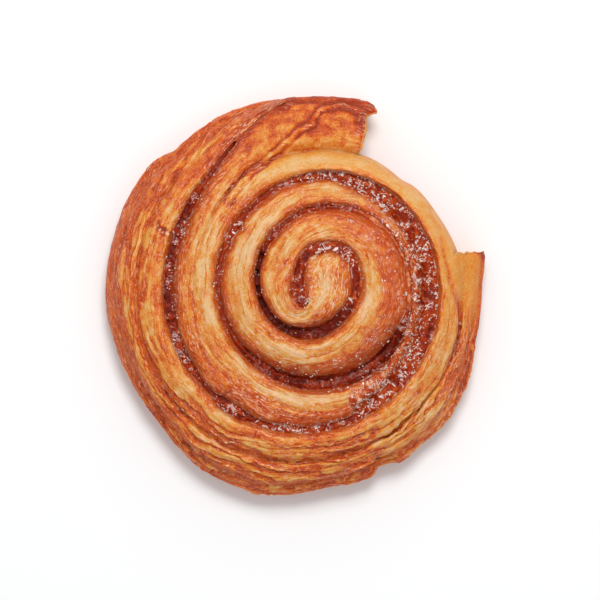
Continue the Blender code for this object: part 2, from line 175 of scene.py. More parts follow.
# How brown the crust is. Each row gives a turn, then the browning there: at the inner rim, in the middle of the
# first lobe, at the crease, in the middle of the second lobe, at the outer rim, and at the foot of the side
BROWNING = (
    (0.43, 0.45, 0.30, 0.22, 0.30, 0.50, 0.60),
    (0.85, 0.45, 0.32, 0.29, 0.39, 0.56, 0.60),
    (1.20, 0.50, 0.34, 0.33, 0.38, 0.56, 0.60),
    (1.36, 0.45, 0.24, 0.20, 0.36, 0.70, 0.60),
    (1.46, 0.45, 0.20, 0.50, 0.82, 0.82, 0.60),
    (1.62, 0.42, 0.08, 0.76, 0.92, 0.82, 0.60),
    (1.78, 0.36, 0.04, 0.50, 0.96, 0.90, 0.60),
    # Near turn 1.9, on the roll's lower side away from the lamp, the middle of the first lobe is set paler to make up
    # for its shade: painted light
    (1.90, 0.32, 0.02, 0.10, 0.70, 1.10, 0.60),
    (2.05, 0.42, 0.22, 0.20, 0.40, 0.90, 0.60),
    (2.18, 0.48, 0.34, 0.32, 0.38, 0.66, 0.60),
    (2.30, 0.50, 0.30, 0.23, 0.28, 0.52, 0.60),
    (2.45, 0.55, 0.40, 0.42, 0.50, 0.65, 0.60),
    (2.65, 0.65, 0.55, 0.60, 0.65, 0.75, 0.60),
    (2.80, 0.65, 0.50, 0.55, 0.60, 0.70, 0.60),
    (2.88, 0.42, 0.14, 0.66, 1.14, 0.96, 0.60),
    (2.96, 0.44, 0.20, 0.64, 1.10, 0.86, 0.60),
    (3.05, 0.50, 0.28, 0.38, 0.56, 0.42, 0.60),
    (3.18, 0.50, 0.28, 0.34, 0.40, 0.40, 0.60),
    (3.27, 0.44, 0.20, 0.34, 0.42, 0.64, 0.72),
    (3.33, 0.30, 0.11, 0.30, 0.60, 0.92, 0.86),
    (3.38, 0.28, 0.08, 0.30, 0.74, 0.92, 0.86),
    (3.4260, 0.28, 0.08, 0.30, 0.78, 0.92, 0.86),
    (3.4268, 0.28, 0.09, 0.26, 0.22, 0.32, 0.85),
    (3.50, 0.32, 0.19, 0.32, 0.28, 0.38, 0.85),
    (3.5898, 0.36, 0.22, 0.32, 0.28, 0.36, 0.85),
    (3.5908, 0.36, 0.22, 0.32, 0.36, 0.44, 0.72),
    (3.72, 0.36, 0.22, 0.36, 0.36, 0.46, 0.74),
    (3.90, 0.47, 0.38, 0.38, 0.32, 0.60, 1.05),
    (4.10, 0.54, 0.56, 0.46, 0.26, 1.00, 1.20),
    (4.22, 0.54, 0.54, 0.40, 0.24, 0.98, 1.20),
    (4.31, 0.72, 0.64, 0.60, 0.62, 0.74, 0.80),
)
BROWNING_SHARES = (0.0, 0.5, 1.0, 1.5, 2.0, 3.0)


def through(x, xs, ys):
    """A smooth curve through the points (xs, ys), without overshoot, read at x."""
    xs, ys = np.asarray(xs, float), np.asarray(ys, float)
    x = np.clip(x, xs[0], xs[-1])
    step = np.diff(xs)
    rise = np.diff(ys) / step
    slope = np.concatenate([rise[:1], (rise[:-1] + rise[1:]) / 2, rise[-1:]])
    limit = 3 * np.minimum(np.abs(np.append(rise, rise[-1])), np.abs(np.append(rise[0], rise)))
    turns_back = np.append(rise, rise[-1]) * np.append(rise[0], rise) <= 0
    slope = np.where(turns_back, 0.0, np.clip(slope, -limit, limit))
    k = np.clip(np.searchsorted(xs, x, side="right") - 1, 0, len(step) - 1)
    t = (x - xs[k]) / step[k]
    return (
        ys[k] * (1 + 2 * t) * (1 - t) ** 2
        + ys[k + 1] * t**2 * (3 - 2 * t)
        + step[k] * t * (1 - t) * (slope[k] * (1 - t) - slope[k + 1] * t)
    )


def table(x, pairs):
    """The smooth curve through a table of (place, value) pairs, read at x."""
    return through(x, *zip(*pairs))


def smoothstep(x, low, high):
    """0 below low and 1 above high, or the other way round if low is above high, with an even curve between."""
    t = np.clip((x - low) / (high - low), 0, 1)
    return t * t * (3 - 2 * t)


def within(x, rises, falls):
    """1 inside a stretch and 0 outside it, from the range where it rises and the one where it falls."""
    return smoothstep(x, *rises) * (1 - smoothstep(x, *falls))


def ridge(x, middle, breadth):
    return np.exp(-(((x - middle) / breadth) ** 2))


def dome(share):
    """0 at both ends of a share from 0 to 1, and 1 in the middle."""
    return 1 - np.abs(2 * share - 1) ** 2


def mix(a, b, share):
    return a * (1 - share) + b * share


def lattice(ix, iy, seed):
    """Random values from 0 to 1 at whole-number places."""
    h = (ix.astype(np.int64) * 374761393 + iy.astype(np.int64) * 668265263 + seed * 144269504) & 0xFFFFFFFF
    h = ((h ^ (h >> 13)) * 1274126177) & 0xFFFFFFFF
    return ((h ^ (h >> 16)) & 0xFFFFFF) / 0xFFFFFF


def noise(x, y, seed):
    """Smooth noise from -1 to 1 that varies over about one unit."""
    x, y = np.broadcast_arrays(x, y)
    ix, iy = np.floor(x), np.floor(y)
    fx, fy = smoothstep(x - ix, 0, 1), smoothstep(y - iy, 0, 1)
    low = mix(lattice(ix, iy, seed), lattice(ix + 1, iy, seed), fx)
    high = mix(lattice(ix, iy + 1, seed), lattice(ix + 1, iy + 1, seed), fx)
    return 2 * mix(low, high, fy) - 1


def cells(x, y, seed):
    """Distances to the nearest and second nearest of points scattered one to a square, and the nearest's value."""
    x, y = np.broadcast_arrays(x, y)
    ix, iy = np.floor(x), np.floor(y)
    nearest = np.full(x.shape, 9.0)
    second = np.full(x.shape, 9.0)
    value = np.zeros(x.shape)
    for dx in (-1, 0, 1):
        for dy in (-1, 0, 1):
            jx, jy = ix + dx, iy + dy
            far = np.hypot(jx + lattice(jx, jy, seed) - x, jy + lattice(jx, jy, seed + 1) - y)
            closer = far < nearest
            second = np.where(closer, nearest, np.minimum(second, far))
            value = np.where(closer, lattice(jx, jy, seed + 2), value)
            nearest = np.where(closer, far, nearest)
    return nearest, second, value


def turn_of(degrees):
    """The turn on the roll's outermost lap, 3.42 to 4.36, that lies at a compass angle."""
    return 4 + (START_ANGLE - degrees) / 360


# The turns at which the roll's outline steps: at the tail's cut end, and where the wrap starts
TAIL_END, WRAP_START = OUTLINE_STEPS = turn_of(TAIL_ANGLE), turn_of(STEP_ANGLE)


def compass(turn):
    return np.radians(START_ANGLE - 360 * turn)


def polar(turn, radius):
    return np.stack([radius * np.cos(compass(turn)), radius * np.sin(compass(turn))], -1)


def layer_line(turn):
    return polar(turn, through(turn, np.arange(len(LAYER_RADII)) / 8, LAYER_RADII))


def layer_side(turn, offset):
    """The layer's line moved sideways by offset, outwards if it is positive."""
    reach = 0.002
    along = layer_line(turn + reach) - layer_line(turn - reach)
    along /= np.linalg.norm(along, axis=-1, keepdims=True)
    outwards = np.stack([-along[..., 1], along[..., 0]], -1)
    return layer_line(turn) + outwards * np.asarray(offset)[..., None]


def closing(turn):
    """0 along the layer, rising to 1 just past its outer end."""
    return smoothstep(turn, LAYER_END, LAYER_END + CLOSING_TURN)


def wall_offset(turn):
    """From the layer's line to the dough on either side of it."""
    return mix(LAYER_SHEET, CLOSED_GAP, closing(turn)) / 2


def rim_wave(turn, seed):
    """How far a rim of the dough wavers, in and out."""
    along = 2 * np.pi * turn * (10 + 5 * turn)
    return RIM_WAVE * (noise(along / 4.5, 0.0, seed) + 0.5 * noise(along / 1.8, 0.0, seed + 1))


def layer_flare(turn, seed=0):
    flare = (table(turn, FILLING_WIDTHS) - LAYER_SHEET) / 2 + rim_wave(turn, seed)
    return np.maximum(flare, 0) * (1 - closing(turn))


def layer_spill(turn):
    """How far the dough's rim is pulled back where the filling boils over."""
    return SPILL_SUNK * table(turn, SPILL_WIDTHS)


def unevenness(turn, seed):
    """A slow wave along the strip, from -1 to 1."""
    return 0.6 * np.sin(2 * np.pi * 2.3 * turn + seed) + 0.4 * np.sin(2 * np.pi * 5.1 * turn + 2.7 * seed)


def crown_height(turn):
    return table(turn, CROWN_HEIGHTS) + UNEVEN_HEIGHT * unevenness(turn, 1.3)


def edge_lobe_height(turn):
    return table(turn, EDGE_LOBE_HEIGHTS) + UNEVEN_HEIGHT * unevenness(turn, 4.1)


def layer_height(turn):
    """The layer's top, set a little below the crown of the dough outside it."""
    return crown_height(turn + 1) - table(turn, FILLING_DEPTHS)


def outline_radius(turn):
    """Radius of the roll's outer side, with a step at the tail's cut end and one where the wrap starts."""
    tail, bare, wrap = (
        table(turn, [(turn_of(degrees), radius) for degrees, radius in outline])
        for outline in (TAIL_OUTLINE, BARE_OUTLINE, WRAP_OUTLINE)
    )
    return np.where(turn <= TAIL_END, tail, np.where(turn < WRAP_START, bare, wrap))


def is_bare(turn):
    """1 between the tail and the wrap, where the roll's last turn shows its side, and 0 elsewhere."""
    return ((turn > TAIL_END) & (turn < WRAP_START)).astype(float)


def meets_outline(turn):
    """0 where the strip's outer side is a wall of the layer, and 1 where it is the roll's own side."""
    return smoothstep(turn, *TAIL_EMERGES)


def inner_turn(turn):
    """The turn of the layer that the strip has on its inside. It runs back to 0 along the tongue."""
    tongue = TONGUE_ROOT * (1 - (turn - STRIP_START) / (HOOK_TURNS[0] - STRIP_START))
    return np.where(turn < HOOK_TURNS[1], np.clip(tongue, 0, None), turn - 1)


def inner_edge(turn):
    """The foot of the strip's inner wall, in plan. It bends round the layer's inner end in a half circle."""
    bend = np.clip((turn - HOOK_TURNS[0]) / (HOOK_TURNS[1] - HOOK_TURNS[0]), 0, 1)
    swing = np.pi * (bend - 0.5)[:, None]
    end = layer_line(0.0)
    outwards = layer_side(0.0, 1.0) - end
    backwards = np.array([-outwards[1], outwards[0]])
    around = end + wall_offset(0.0) * (np.sin(swing) * outwards + np.cos(swing) * backwards)
    inside = inner_turn(turn)
    beside = layer_side(inside, np.where(turn < HOOK_TURNS[0], -1, 1) * wall_offset(inside))
    bending = (turn >= HOOK_TURNS[0]) & (turn < HOOK_TURNS[1])
    return np.where(bending[:, None], around, beside)


def outer_edge(turn):
    """The foot of the strip's outer wall, in plan, or its outline once it is outermost."""
    last = TAIL_EMERGES[1]
    wall = layer_side(np.minimum(turn, last), -wall_offset(turn))
    share = meets_outline(turn)[:, None]
    return wall * (1 - share) + polar(turn, outline_radius(turn)) * share


def arch(foot, other_foot, top, share, outer_power=CROWN_POWER):
    """Height of a lobe at a share of its width, between feet at two heights."""
    bump = 1 - np.abs(2 * share - 1) ** np.where(share < 0.5, CROWN_POWER, outer_power)
    return mix(foot, other_foot, share) + (top - (foot + other_foot) / 2) * bump


def dough_ribs(turns):
    """The smooth strip's closed ribs. Each point's place round one is 0 to 1 over the crown, 1 to 2 down the side."""
    inside = inner_turn(turns)
    inner, outer = inner_edge(turns), outer_edge(turns)
    at_edge, bare = meets_outline(turns)[:, None], is_bare(turns)[:, None]
    width = np.linalg.norm(outer - inner, axis=-1)[:, None]
    across = (outer - inner) / width

    spill = layer_spill(turns)
    from_core = np.where(turns < HOOK_TURNS[0], -1, 1)
    bending = ((turns >= HOOK_TURNS[0]) & (turns < HOOK_TURNS[1]))[:, None]
    off_layer = (layer_side(inside, 1.0) - layer_line(inside)) * from_core[:, None]
    off_layer = np.where(bending, (inner - layer_line(0.0)) / wall_offset(0.0), off_layer)
    inner_lean = off_layer * layer_flare(inside, 301)[:, None]
    outer_lean = (layer_line(turns) - layer_side(turns, 1.0)) * (layer_flare(turns, 303) + spill)[:, None]
    rounding = table(turns, SIDE_ROUNDING)[:, None]
    shoulder = mix(np.minimum(SIDE_SHOULDER * rounding, SHOULDER_LIMIT * width), BARE_OVERHANG, bare)
    inner_rim = inner + inner_lean
    outer_rim = outer + mix(outer_lean, -across * shoulder, at_edge)
    rim_width = np.linalg.norm(outer_rim - inner_rim, axis=-1)[:, None]

    turns, inside, spill = turns[:, None], inside[:, None], spill[:, None]
    inner_top, crown = layer_height(inside), crown_height(turns)
    edge_lobe = np.minimum(edge_lobe_height(turns), crown)
    outer_top = mix(layer_height(turns) + SPILL_RISE * spill, SIDE_TOP * edge_lobe, at_edge)

    strength = table(turns, CREASE_STRENGTH)
    crease = (table(turns, CREASE_RADII) - np.linalg.norm(inner_rim, axis=-1)[:, None]) / rim_width
    crease = mix(mix(0.5, np.clip(crease, *CREASE_LIMITS), strength), BARE_CREASE, bare)
    crease_top = mix(edge_lobe - table(turns, CREASE_DEPTHS), BARE_TOP, bare)
    share = np.linspace(0, 1, CROWN_POINTS + 1)[None, :]
    over = np.concatenate([crease * share, mix(crease, 1, share[:, 1:])], 1)
    single = arch(inner_top, outer_top, crown, over, table(turns, OUTER_POWERS))
    first = arch(inner_top, crease_top, crown, share)
    second = arch(crease_top, outer_top, edge_lobe, share[:, 1:])
    z_crown = mix(single, np.concatenate([first, second], 1), strength)
    sheet = outer_top + (crown - outer_top) * (1 - smoothstep(over, *FLAP_FALL))
    z_crown = mix(z_crown, np.maximum(z_crown, sheet), table(turns, FLAP_SHARE))
    falling = outer_top + (inner_top - outer_top) * (1 - over**2)
    z_crown = mix(z_crown, falling, smoothstep(turns, *WRAP_THINS))
    crown_plan = mix(inner_rim[:, None, :], outer_rim[:, None, :], over[..., None])

    fall = np.linspace(0, 1, SIDE_POINTS + 1)[None, 1:]
    z_side = outer_top * (1 - fall)
    lean = np.clip(1 - (outer_top - z_side) / LAYER_DEPTH, 0, 1)
    above = np.clip((z_side - SIDE_BULGE_HEIGHT) / (outer_top - SIDE_BULGE_HEIGHT), 0, 1)
    below = np.clip(1 - z_side / SIDE_BULGE_HEIGHT, 0, 1)
    inset = shoulder * above**2 + np.minimum(SIDE_TUCK * rounding, TUCK_LIMIT * width) * below**2
    wall = outer_lean[:, None, :] * lean[..., None]
    side = -across[:, None, :] * inset[..., None]
    side_plan = outer[:, None, :] + mix(wall, side, at_edge[..., None])

    drop = np.linspace(0, 1, CROWN_POINTS + SIDE_POINTS + 1)[None, 1:]
    above = 1 - np.sin(np.pi * np.minimum(drop, 0.5))
    below = np.clip(2 * drop - 1, 0, 1) ** 2
    inset = BARE_OVERHANG * above + SIDE_TUCK * below
    bare_plan = outer[:, None, :] - across[:, None, :] * inset[..., None]
    past_crown = np.concatenate([crown_plan[:, CROWN_POINTS + 1 :], side_plan], 1)
    past_crown = mix(past_crown, bare_plan, bare[..., None])
    z_past = mix(np.concatenate([z_crown[:, CROWN_POINTS + 1 :], z_side], 1), BARE_TOP * (1 - drop), bare)
    round_it = np.concatenate([over[:, CROWN_POINTS + 1 :], 1 + fall + 0 * width], 1)
    round_it = mix(round_it, 1 + drop, bare)

    foot = inner[:, None, :]
    middle = (foot + past_crown[:, -1:]) / 2
    plan = np.concatenate([foot, foot, crown_plan[:, : CROWN_POINTS + 1], past_crown, middle], 1)
    ground = 0 * width
    z = np.concatenate([ground, inner_top - LAYER_DEPTH, z_crown[:, : CROWN_POINTS + 1], z_past, ground], 1)
    place = np.concatenate([ground - 1, ground - 0.5, over[:, : CROWN_POINTS + 1], round_it, ground + 2.5], 1)
    return np.concatenate([plan, z[..., None]], -1), place, rim_width[:, 0], crease[:, 0]


def dough_rows():
    """The turns of the strip's rows and how far along they lie, in three stretches that the two steps part."""
    starts = [STRIP_START] + [step + STEP_HALF_TURN for step in OUTLINE_STEPS]
    ends = [step - STEP_HALF_TURN for step in OUTLINE_STEPS] + [STRIP_END]
    stretches = []
    for start, end in zip(starts, ends):
        fine = np.linspace(start, end, LINE_SAMPLES)
        middle = (inner_edge(fine) + outer_edge(fine)) / 2
        lengths = np.linalg.norm(np.diff(middle, axis=0), axis=-1)
        run = np.append(0, np.cumsum(lengths))
        rows = np.append(0, np.cumsum(lengths * table(fine[1:], ROW_DENSITY))) / ROW_SPACING
        turns = np.interp(np.linspace(0, rows[-1], int(round(rows[-1])) + 1), rows, fine)
        stretches.append((turns, np.interp(turns, fine, run)))
    return stretches


def ease_step(before, after, run_before, run_after):
    """Brings the crowns on both sides of a step together over a few millimetres."""
    parted = after[0] - before[-1]
    column = np.arange(parted.shape[0])
    inner = 1 - smoothstep(column, *(2 + share * CROWN_POINTS for share in EASED_CROWN))
    along = (after[1] - after[0]) / np.linalg.norm(after[1] - after[0], axis=-1, keepdims=True)
    parted = (parted - (parted * along).sum(-1, keepdims=True) * along) * inner[:, None] / 2
    before += parted * (1 - smoothstep(run_before[-1] - run_before, 0, STEP_EASE))[:, None, None]
    after -= parted * (1 - smoothstep(run_after - run_after[0], 0, STEP_EASE))[:, None, None]


def strip_grid():
    """The whole strip as a grid, with the rows that cross the two cut faces put in between the stretches."""
    stretches = [(turns, length, *dough_ribs(turns)) for turns, length in dough_rows()]
    for first, second in zip(stretches, stretches[1:]):
        ease_step(first[2], second[2], first[1], second[1])
    rows, travelled, last = [], 0.0, None
    for turns, length, ribs, place, width, crease in stretches:
        here = ribs, place, np.clip(place, 0, 1) * width[:, None], crease
        flat = np.zeros(place.shape)
        if last:
            parted = np.linalg.norm(ribs[0] - last[0], axis=-1)[None]
            for share in np.arange(1, CUT_ROWS + 1) / (CUT_ROWS + 1):
                crossing = (mix(a, b[0], share)[None] for a, b in zip(last, here))
                rows.append((*crossing, turns[:1], np.array([travelled]), width[:1], parted * share, parted))
        rows.append((*here, turns, travelled + length, width, flat, flat))
        last = [part[-1] for part in here]
        travelled += length[-1]
    ribs, place, across, crease, turns, run, width, cut, gap = (np.concatenate(part) for part in zip(*rows))
    # Every row is told how wide the nearest cut is, column by column
    widest = [gap[np.abs(turns - step) < 2 * STEP_HALF_TURN].max(0) for step in OUTLINE_STEPS]
    nearest = np.abs(turns[:, None] - OUTLINE_STEPS).argmin(1)
    return ribs, place, turns, run, width, crease, cut, np.array(widest)[nearest], across


def leaf_lines(run, across, spacing, wander, seed):
    """Which leaf of the dough shows at each place, and how far over that leaf it is, from 0 to 1."""
    shift = noise(run / 24, across / 7, seed) + 0.4 * noise(run / 8, across / 3, seed + 1)
    shift = shift + 0.16 * noise(run / 2.6, across / 1.6, seed + 2)
    phase = (across + wander * shift) / spacing
    leaf = np.floor(phase)
    return leaf, phase - leaf


def along_leaf(run, leaf, length, seed):
    """Slow noise along each leaf, with no likeness between neighbouring leaves."""
    return noise(run / length + 17.3 * leaf, leaf, seed)


def stepped(run, leaf, over, length, seed, edge=0.7):
    """A value for each leaf that drifts along it, and turns into the next leaf's at its edge."""
    here, following = (along_leaf(run, leaf + i, length, seed) for i in (0, 1))
    return mix(here, following, smoothstep(over, edge, 1))


def patches(run, across, length, breadth, seed, low, high):
    """Ragged patches, 1 inside and 0 outside, longer than they are broad."""
    field = noise(run / length, across / breadth, seed) + 0.35 * noise(run / 1.7, across / 0.7, seed + 1)
    return smoothstep(field, low, high)


def away_from(line, x, y):
    """Distance in plan to a line of points."""
    nearest = np.full(np.broadcast(x, y).shape, 1e3)
    for (ax, ay), (bx, by) in zip(line, line[1:]):
        ux, uy = bx - ax, by - ay
        t = np.clip(((x - ax) * ux + (y - ay) * uy) / (ux**2 + uy**2), 0, 1)
        nearest = np.minimum(nearest, np.hypot(ax + t * ux - x, ay + t * uy - y))
    return nearest


def normals_of(points):
    """Outward normals of a grid whose rows are closed rings."""
    along = np.gradient(points, axis=0)
    around = np.roll(points, -1, 1) - np.roll(points, 1, 1)
    normal = np.cross(along, around)
    return normal / np.maximum(np.linalg.norm(normal, axis=-1, keepdims=True), 1e-12)


def ring_distance(points):
    """How far round its ring each point is, from the first one."""
    steps = np.linalg.norm(np.diff(points, axis=1), axis=-1)
    return np.concatenate([np.zeros((len(points), 1)), np.cumsum(steps, 1)], 1)


def crust(turn, lobe):
    """The crust's browning from the table, by turn and place on the two lobes and the side."""
    stops, *columns = zip(*BROWNING)
    columns = [np.interp(turn, stops, column) for column in columns]
    brown = np.zeros(lobe.shape) + columns[0]
    for here, following, low, high in zip(columns, columns[1:], BROWNING_SHARES, BROWNING_SHARES[1:]):
        brown += (following - here) * smoothstep(lobe, low, high)
    return brown


# Lines in plan: the seam of the tail's sheets, where the wrap's end lies on the tail, and the edge of the leaf
# on which the flap beside the wrap's step begins
TAIL_SEAM = (
    (14.3, 49.9), (14.3, 52.0), (12.2, 53.7), (8.2, 54.2), (4.2, 53.7), (2.1, 52.4), (1.2, 50.9), (-0.3, 48.4),
    (-3.9, 46.6), (-6.9, 43.8), (-10.9, 40.1), (-15.2, 36.5), (-21.0, 31.2), (-25.0, 25.7),
)  # fmt: skip
WRAP_SEAM = ((-7.0, 54.6), (-10.9, 53.4), (-15.9, 50.5), (-19.5, 47.4), (-23.1, 43.4), (-25.5, 39.8), (-29.0, 35.4))
FLAP_LINE = ((38.0, 14.5), (39.6, 6.9), (41.7, -1.2), (43.5, -5.6), (43.8, -12.8), (41.9, -20.9), (38.0, -29.0))
# Where the skin at the left has torn and curled up, in plan, and how far that reaches
TORN_CURL = (-44.9, 16.6)
CURL_REACH = (2.4, 1.8)

# How far the strip's two cut ends stand past a straight cut, by radius
TAIL_REACH = (
    (41.5, -0.1), (44.5, 0.2), (46.5, 0.3), (49.0, 0.1), (52.8, -0.6), (54.2, -0.3), (55.6, 1.6), (56.6, 1.2),
    (57.6, -0.2), (58.5, -0.8),
)  # fmt: skip
STEP_REACH = ((44.5, 0.2), (46.5, 0.4), (48.5, 0.5), (50.0, 0.1), (52.0, -0.3), (53.0, -0.6))
TORN_END = 0.012
# The cut ends draw back between these heights, to at most this reach and by this much more
UNDERCUT_HEIGHTS = (11, 7)
LOW_REACH = -0.2
UNDERCUT = 0.5
# How wide the gap between two stretches is where a cut face begins, and how far from it the crust sinks
CUT_GAP = (0.9, 2.0)
CUT_SINK, CUT_SINK_REACH = 0.4, 1.2
CUT_LEAF_SPACING = 0.85

# Where on the wrap's lobes the torn leaves begin, by turn
TORN_FROM = ((3.6, 0.95), (3.74, 0.9), (3.8, 0.3), (3.98, 0.35), (4.06, 0.8), (4.36, 0.95))
# The two stretches that filling has soaked, by turn: from where to where each begins, and then ends
SOAKED_LAP = ((1.40, 1.52), (1.92, 2.04))
SOAKED_SPILL = ((2.40, 2.5), (2.81, 2.83))
# The stretch of the wrap that is flakiest, and where the wrap's long streaks begin, by turn
FLAKY_WRAP = ((3.7, 3.8), (4.1, 4.2))
STREAKED_WRAP = (3.72, 3.85)
STREAK_LEAN = 0.12
LEFT_WRAP = (4.0, 4.1)
# How far the layer stains the dough beside it, and how strongly: beside its filling, and where it has closed up
STAIN_REACH = (2.6, 1.4)
STAIN_STRENGTH = (1.2, 0.8)

# How far each detail stands out of the crust, or sinks into it, in millimetres
THREAD_HEIGHT, THREAD_SPACING = 0.06, 0.5
RIPPLE_HEIGHT, SWELL_HEIGHT, SLIT_DEPTH, LUMP_HEIGHT = 0.1, 0.16, 0.2, 0.22
PLATE_HEIGHT, PLATE_SEAM_DEPTH = 0.3, 0.08
STANDS_OUT = {"lip": 0.3, "beneath": -0.35, "rope": 0.4, "rope_edge": -0.35, "flap_line": -0.3}
# How much browner each detail is than the crust around it; for beneath, this is painted shadow in the groove under
# the tail's lip
BROWNER = {
    "lip": 0.2, "beneath": 0.35, "end_rust": 0.25, "rope": 0.2, "rope_edge": 0.34, "wrap_seam": 0.3,
    "flap_line": 0.35, "flap_edge": 0.25, "corner": 0.5,
}  # fmt: skip


def torn_ends(at):
    """Sideways shift of the points near the strip's two cut ends, which are torn and a little undercut."""
    shift = np.zeros((*at.points.shape[:2], 2))
    radius = np.hypot(at.points[..., 0], at.points[..., 1])
    ragged = 0.2 * noise(radius / 2.2, at.turn * 40, 151) + 0.15 * noise(radius / 0.9, 3.0, 152)
    low = smoothstep(at.points[..., 2], *UNDERCUT_HEIGHTS)
    for angle, end, reach, side in ((TAIL_ANGLE, TAIL_END, TAIL_REACH, 1), (STEP_ANGLE, WRAP_START, STEP_REACH, -1)):
        near = 1 - smoothstep(np.abs(at.turn - end), 2 * STEP_HALF_TURN, TORN_END)
        near = near * ((end - at.turn) * side > -2 * STEP_HALF_TURN) * at.beside_cut
        stands = table(radius, reach)
        length = near * (mix(stands, np.minimum(stands, LOW_REACH), low) + ragged - UNDERCUT * low)
        along = np.radians(angle - 90)
        shift += side * length[..., None] * np.array([np.cos(along), np.sin(along)])
    return shift


def strip_places():
    """The smooth strip's points, and where each lies: along the strip, across it, round it and in plan."""
    ribs, place, turns, run, width, crease, cut, gap, over_crown = strip_grid()
    turn, run, width, crease = (values[:, None] for values in (turns, run, width, crease))
    side_run = ring_distance(ribs)
    rim = side_run[:, [2 + 2 * CROWN_POINTS]]
    lobe = np.where(place < crease, np.clip(place, 0, 1) / crease, 1 + (place - crease) / (1 - crease))
    return SimpleNamespace(
        ribs=ribs, normal=normals_of(ribs), x=ribs[..., 0], y=ribs[..., 1], turn=turn, run=run, place=place,
        lobe=np.where(place > 1, 1 + place, lobe), over_crown=over_crown, width=width, crease=crease,
        across=np.where(place <= 1, over_crown, width + np.clip(side_run - rim, 0, None)), side_run=side_run,
        cut=cut, beside_cut=smoothstep(gap, *CUT_GAP), at_outline=meets_outline(turn), bare=is_bare(turn),
    )  # fmt: skip


def run_at(at, turn):
    """How far along the strip a turn lies."""
    return at.run[np.abs(at.turn - turn).argmin()]


def grain(at, length, breadth, seed):
    """Noise over the dough of a length along the strip and a breadth across it."""
    return noise(at.run / length, at.across / breadth, seed)


def mark_regions(at):
    """Marks the dough's regions, each from 0 to 1: its top, tail, torn wrap, skin, soaked stretches and cuts."""
    turn, place, lobe = at.turn, at.place, at.lobe
    at.on_crown = smoothstep(place, -0.02, 0.05)
    at.off_wall = 1 - smoothstep(place, 0.96, 1.02) * (1 - at.at_outline)
    at.on_top = at.on_crown * at.off_wall * (1 - smoothstep(place, 2.0, 2.1))
    past_crease = smoothstep(place - at.crease, -0.02, 0.06) * smoothstep(turn, 3.2, 3.34) * (1 - at.bare)
    at.on_tail = past_crease * (1 - smoothstep(turn, TAIL_END - TORN_END, TAIL_END)) * smoothstep(turn, 3.24, 3.33)
    torn_from = table(turn, TORN_FROM)
    at.on_wrap = smoothstep(lobe, torn_from, torn_from + 0.15) * smoothstep(turn, WRAP_START + 0.03, turn_of(-40))

    band = smoothstep(turn, 3.28, 3.36) * (1 - smoothstep(lobe, 0.85, 1.05)) * (turn < TAIL_END)
    band = band + (turn >= TAIL_END) * (1 - smoothstep(turn, WRAP_START + 0.02, turn_of(-35)))
    skin = band * smoothstep(lobe, 0.08, 0.4) + 0.75 * (1 - at.bare) * at.at_outline * smoothstep(place, 1.1, 1.6)
    at.skin = np.clip(skin, 0, 1)
    at.cut_face = at.beside_cut * (at.cut > 0)

    # Further along its lap the filling has soaked less of the crown's width
    soaked_from = lobe - 2.5 * np.clip(turn - 1.7, 0, 0.25)
    soaked = within(turn, *SOAKED_LAP) * smoothstep(soaked_from, 0.7, 1.05)
    at.soaked = np.clip(soaked + within(turn, *SOAKED_SPILL) * (place > -0.1), 0, 1)
    at.leafy = at.on_top * (1 - 0.92 * at.skin) * (1 - 0.85 * at.on_tail) * (1 - 0.75 * at.soaked)
    streaked = at.on_top * smoothstep(turn, *STREAKED_WRAP)
    at.wrapped = streaked * smoothstep(at.across, 1.0, 3.0) * (place < 1.2)
    at.along_wrap = np.clip(at.run - run_at(at, FLAKY_WRAP[0][0]), 0, None)


def lay_leaves(at, sizes):
    """The leaves' relief. Broad folds carry the leaves, and those the finest threads."""
    turn, run, across = at.turn, at.run, at.across
    fold, over_fold = leaf_lines(run, across, sizes.fold_spacing, 2.0, 5)
    leaf, over_leaf = leaf_lines(run, across, sizes.leaf_spacing, 1.3, 11)
    thread, over_thread = leaf_lines(run, across, THREAD_SPACING, 0.9, 31)
    thread_dome = dome(over_thread)
    thread_rise = along_leaf(run, thread, 5, 41)
    (flaky_from, flaky_to), less_flaky = FLAKY_WRAP
    flaky = smoothstep(turn, flaky_from, flaky_to) * (1 - 0.5 * smoothstep(turn, *less_flaky))
    flaky = flaky * smoothstep(at.lobe, 0.3, 0.7)
    opened = smoothstep(along_leaf(run, leaf, 7, 51) + 0.3 * flaky, 0.3, 0.45)
    at.slit = within(over_leaf, (0.70, 0.86), (0.92, 1.0)) * at.leafy * opened

    relief = sizes.fold_height * (1 - 0.4 * flaky) * stepped(run, fold, over_fold, 17, 21)
    relief += sizes.leaf_height * (1 + 0.4 * flaky) * stepped(run, leaf, over_leaf, 9, 23, 0.82)
    relief += THREAD_HEIGHT * (thread_dome * (0.9 + thread_rise) - 0.45)
    relief += RIPPLE_HEIGHT * grain(at, 1.6, 1.1, 45)
    swell = SWELL_HEIGHT * (1 - at.skin) * grain(at, 6, 5, 61)
    lumps = LUMP_HEIGHT * at.soaked * np.clip(grain(at, 1.5, 1.3, 197), -0.6, 1)
    relief = at.leafy * relief + at.on_top * (swell + lumps) - SLIT_DEPTH * at.slit

    streaks = 0.16 * (stepped(run, fold, over_fold, 8, 121) + stepped(run, leaf, over_leaf, 5, 123))
    at.leaf_browning = at.leafy * (streaks + 0.08 * thread_rise + 0.05 * (1 - thread_dome))
    return relief


